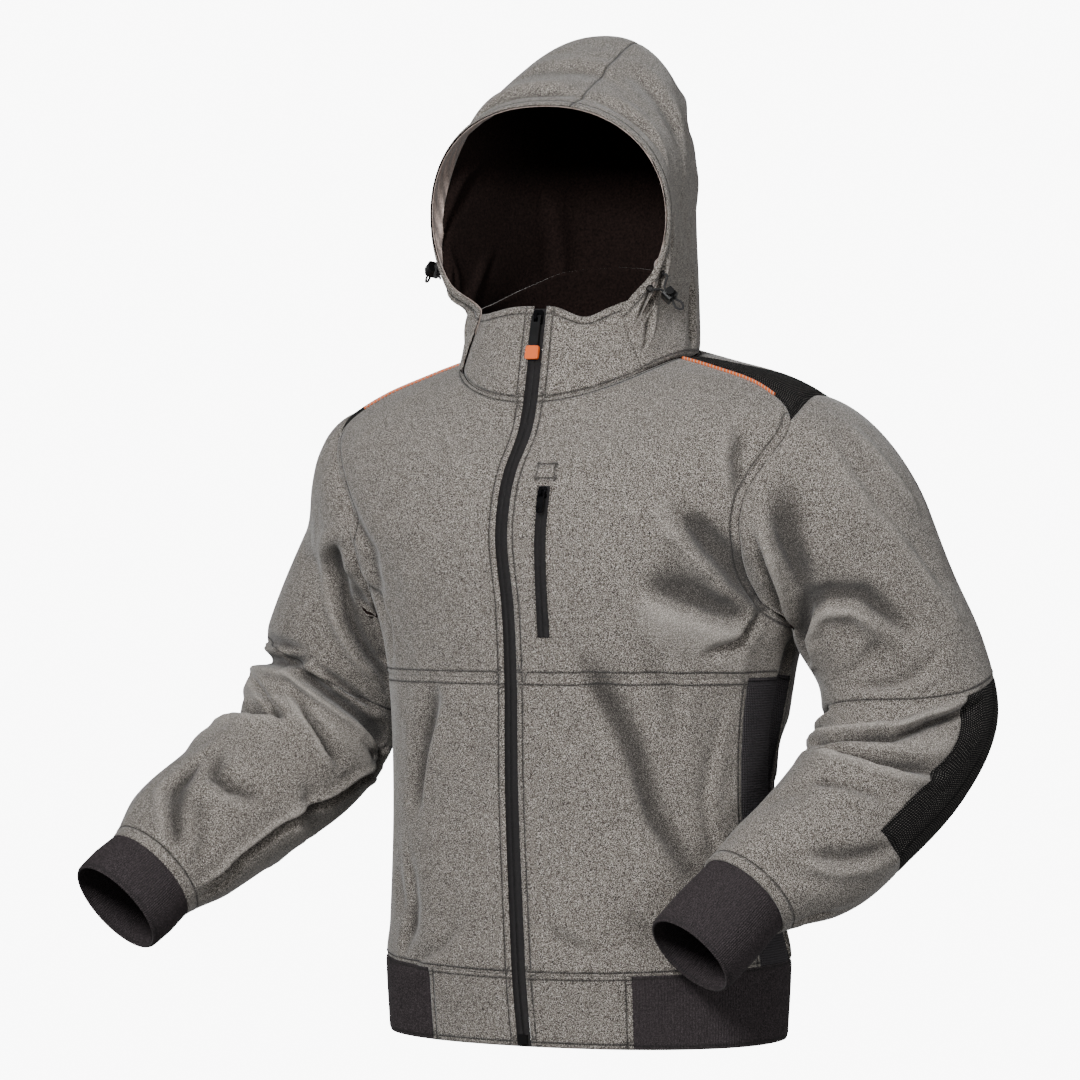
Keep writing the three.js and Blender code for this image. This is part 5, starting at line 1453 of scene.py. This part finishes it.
# each as its net, columns or rows, the line, from, to, and how far beside it the thread runs
BOTH_SIDES = [
    (body_net, "c", 0, 0.2, 23.9, 6), (body_net, "c", FRONT, PIT, TIP, -8.5),
    (body_net, "c", SIDE, PIT, TIP, 8.5), (body_net, "c", FRONT, 2.1, 8.9, -5),
    (body_net, "c", SIDE, 2.1, 8.9, 5), (body_net, "r", CROSS, 0.2, UNDER_ARM, 6),
    (body_net, "r", CROSS, 0.2, FRONT, -6), (body_net, "r", HEM, 0.2, FRONT, 3.5),
    (body_net, "r", HEM, 0.2, 3, -3.5), (body_net, "r", 0, 0.2, 3, 5), (body_net, "c", 3, 0.1, 1.9, -6),
    (body_net, "r", TIP, FRONT, SIDE, 5), (collar_net, "c", 0, 0.3, 2.5, 8),
]
ONCE = [
    (body_net, "c", 3, 0.1, 1.9, -13), (body_net, "r", HEM, 12, 28, 3.5),
    (body_net, "r", NECK, 0.3, 39.7, -3.5), (collar_net, "r", 3, 1.2, 38.8, -8),
    (hem_net, "r", HEM, 3.05, 36.95, -2.5), (hem_net, "r", 0, 3.05, 36.95, 4),
]
for name in ("left", "right"):
    grid = sleeves[name]
    ONCE += [
        (grid, "r", ELBOW, 0, 24, -5), (grid, "r", WRIST, 0, 24, -9),
        (grid, "c", 2, ELBOW + 0.2, PATCH_END - 0.2, -4),
        (grid, "c", 18, ELBOW + 0.2, PATCH_END - 0.2, 4), (cuff_nets[name], "r", 4, 0, 24, -3.5),
    ]
ONCE += [
    (hood_net, "r", 0, 0.1, 23.9, 9), (pocket_plain, "c", TAPE_LINES[0], 0.0, 1.0, -1.6, 0.2),
    (pocket_plain, "c", TAPE_LINES[-1], 0.0, 1.0, 1.6, 0.2),
    (welt_net, "r", 0, 0.08, 0.92, 2.5, 1.8), (welt_net, "r", 1, 0.08, 0.92, -2.5, 1.8),
]
MIRRORED = [(row[0], *mirror(*row[1:5], -row[5] if row[1] == "c" else row[5])) for row in BOTH_SIDES]
paths = [seam(*row) for row in BOTH_SIDES + MIRRORED + ONCE]
grow("sewing_thread", paths, stitch_tree,
     {"Pitch": 0.0033, "Long": 0.0025, "Thick": 0.0007, "Finish": thread})


def zigzag(grid, low, high, half_wide, pitch, lift):
    middle = TAPE_LINES[-1] / 2
    line = seam(grid, "c", middle, low, high, 0, lift, pitch / 2)
    side = seam(grid, "c", middle + 1, low, high, 0, lift, pitch / 2)
    count = min(len(line), len(side))
    across = unit(side[:count] - line[:count])
    turn = np.where(np.arange(count) % 2, 1, -1)[:, None]
    return line[:count] + across * turn * half_wide


grow("zip_coil", [zigzag(tape_net, 0.25, 26.2, 1.0, 1.5, -0.1)], coil_tree,
     {"Thick": 0.0007, "Finish": black_plastic})
grow("pocket_zip_coil", [zigzag(pocket_net, 0.03, 0.97, 0.9, 1.4, 1.3)], coil_tree,
     {"Thick": 0.0006, "Finish": black_plastic})

# %% [markdown]
# ## Piping
# The yoke's front seam holds a filled cord of bright tape. It lies in the seam like a bead.

# %% Piping
SIDES_OF_TUBE = 10


def tube(title, line, radius, finish):
    """A round sleeve of thin cloth along a line."""
    line = np.asarray(line, float)
    way = unit(np.gradient(line, axis=0))
    x = unit(np.cross(way, np.array([0.2, 0.3, 1.0])))
    y = np.cross(way, x)

    def place(c, r):
        k, a = np.round(r).astype(int), -2 * np.pi * c / SIDES_OF_TUBE
        return line[k] + (x[k] * np.cos(a)[..., None] + y[k] * np.sin(a)[..., None]) * radius

    grid = net(np.arange(SIDES_OF_TUBE + 1), np.arange(len(line)), place, closed=True)
    outward = ((grid["P"] - line[None]) * grid["N"]).sum(-1).mean()
    if outward < 0:
        grid["N"], grid["flip"] = -grid["N"], -1
    shell(title, grid, whole, [finish], 0.5, roll=0.1, inset=0)


for name, at in (("left", 8), ("right", 32)):
    line = seam(body_net, "c", at, 21, 23.85, 0, 0.6, 1.5)
    tube(f"yoke_piping_{name}", line, 1.65, piping)

# %% [markdown]
# ## What each piece stands for
# Every cloth piece rides on the jacket, stands for its packed wall, and says the size that its
# maker would cut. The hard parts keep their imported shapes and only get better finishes.

# %% Cloth pieces and their cut
for title, piece in shells.items():
    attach(piece, "jacket")
    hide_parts(title)
    width, length, area = measured[title]
    share = min(1.0, area / (width * length))
    print(f"{title}: {width * 1000:.0f} x {length * 1000:.0f} mm, {share:.2f} of it used")

# %% Hard parts
finishes = {
    "zip_slider": black_metal, "zip_slider_bridge": black_metal, "zip_pull": black_plastic,
    "zip_pull_tip": orange_rubber, "zip_bottom_stop": black_plastic, "pocket_slider": black_metal,
    "pocket_slider_bridge": black_metal, "pocket_pull": black_metal,
}
for side in ("left", "right"):
    finishes[f"eyelet_front_{side}"] = finishes[f"eyelet_rear_{side}"] = eyelet_metal
    finishes[f"cord_lock_{side}"] = finishes[f"cord_lock_button_{side}"] = black_plastic
for title, finish in finishes.items():
    for slot in bpy.data.objects[title].material_slots:
        slot.material = finish
print(len(finishes), "hard parts")

# %% [markdown]
# ## The studio
# The jacket is seen in front of a near white sweep. A faint light comes from everywhere, a large
# lamp stands at the camera's left and above, and a weaker one at its right fills the shadows.
# The sweep lies well below the hem, and behind every place that a camera may look from.

# %% Sweep, lights and air
RIGHT = Vector((math.cos(AZIMUTH), math.sin(AZIMUTH), 0))
FLOOR, NEAR_END, WALL, CURVE, TOP, HALF_WIDE = -1.25, -7.0, 6.0, 1.2, 6.5, 9.0
turns = np.linspace(0.1, math.pi / 2, 12)
profile = [(NEAR_END, FLOOR), (WALL, FLOOR)]
profile += [(WALL + CURVE * math.sin(a), FLOOR + CURVE - CURVE * math.cos(a)) for a in turns]
profile += [(WALL + CURVE, TOP)]
points = [RIGHT * k - BACK * far + Vector((0, 0, z))
          for far, z in profile for k in (-HALF_WIDE, HALF_WIDE)]
faces = [(2 * k, 2 * k + 1, 2 * k + 3, 2 * k + 2) for k in range(len(profile) - 1)]
mesh = bpy.data.meshes.new("studio_sweep")
mesh.from_pydata(points, [], faces)
mesh.materials.append(studio_white)
mesh.polygons.foreach_set("use_smooth", np.ones(len(faces), bool))
sweep = placed("studio_sweep", mesh)
# it is a bright wall behind the jacket, and the lamps below light the jacket itself
sweep.visible_diffuse = sweep.visible_glossy = False


def area_light(name, place, power, size):
    data = bpy.data.lights.new(name, "AREA")
    data.shape, data.size, data.energy = "SQUARE", size, power
    lamp = placed(name, data)
    lamp.location = place
    lamp.rotation_euler = (middle - place).to_track_quat("-Z", "Y").to_euler()


middle = Vector((0, 0, -0.2))
area_light("key", middle + BACK * 2.7 - RIGHT * 1.0 + Vector((0, 0, 1.3)), 95, 0.7)
area_light("fill", middle + BACK * 2.8 + RIGHT * 1.8 + Vector((0, 0, 0.2)), 28, 1.4)
world = bpy.data.worlds.new("soft_air")
world.use_nodes = True
world.node_tree.nodes["Background"].inputs[0].default_value = linear("#ffffff")
world.node_tree.nodes["Background"].inputs[1].default_value = 0.22
bpy.context.scene.world = world
print("lights", len(bpy.data.lights))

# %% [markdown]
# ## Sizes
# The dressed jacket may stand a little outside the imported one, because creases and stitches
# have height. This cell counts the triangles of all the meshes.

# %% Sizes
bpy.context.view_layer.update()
total = sum(len(f.vertices) - 2 for o in bpy.data.objects if o.type == "MESH" for f in o.data.polygons)
print("triangles in all", total)
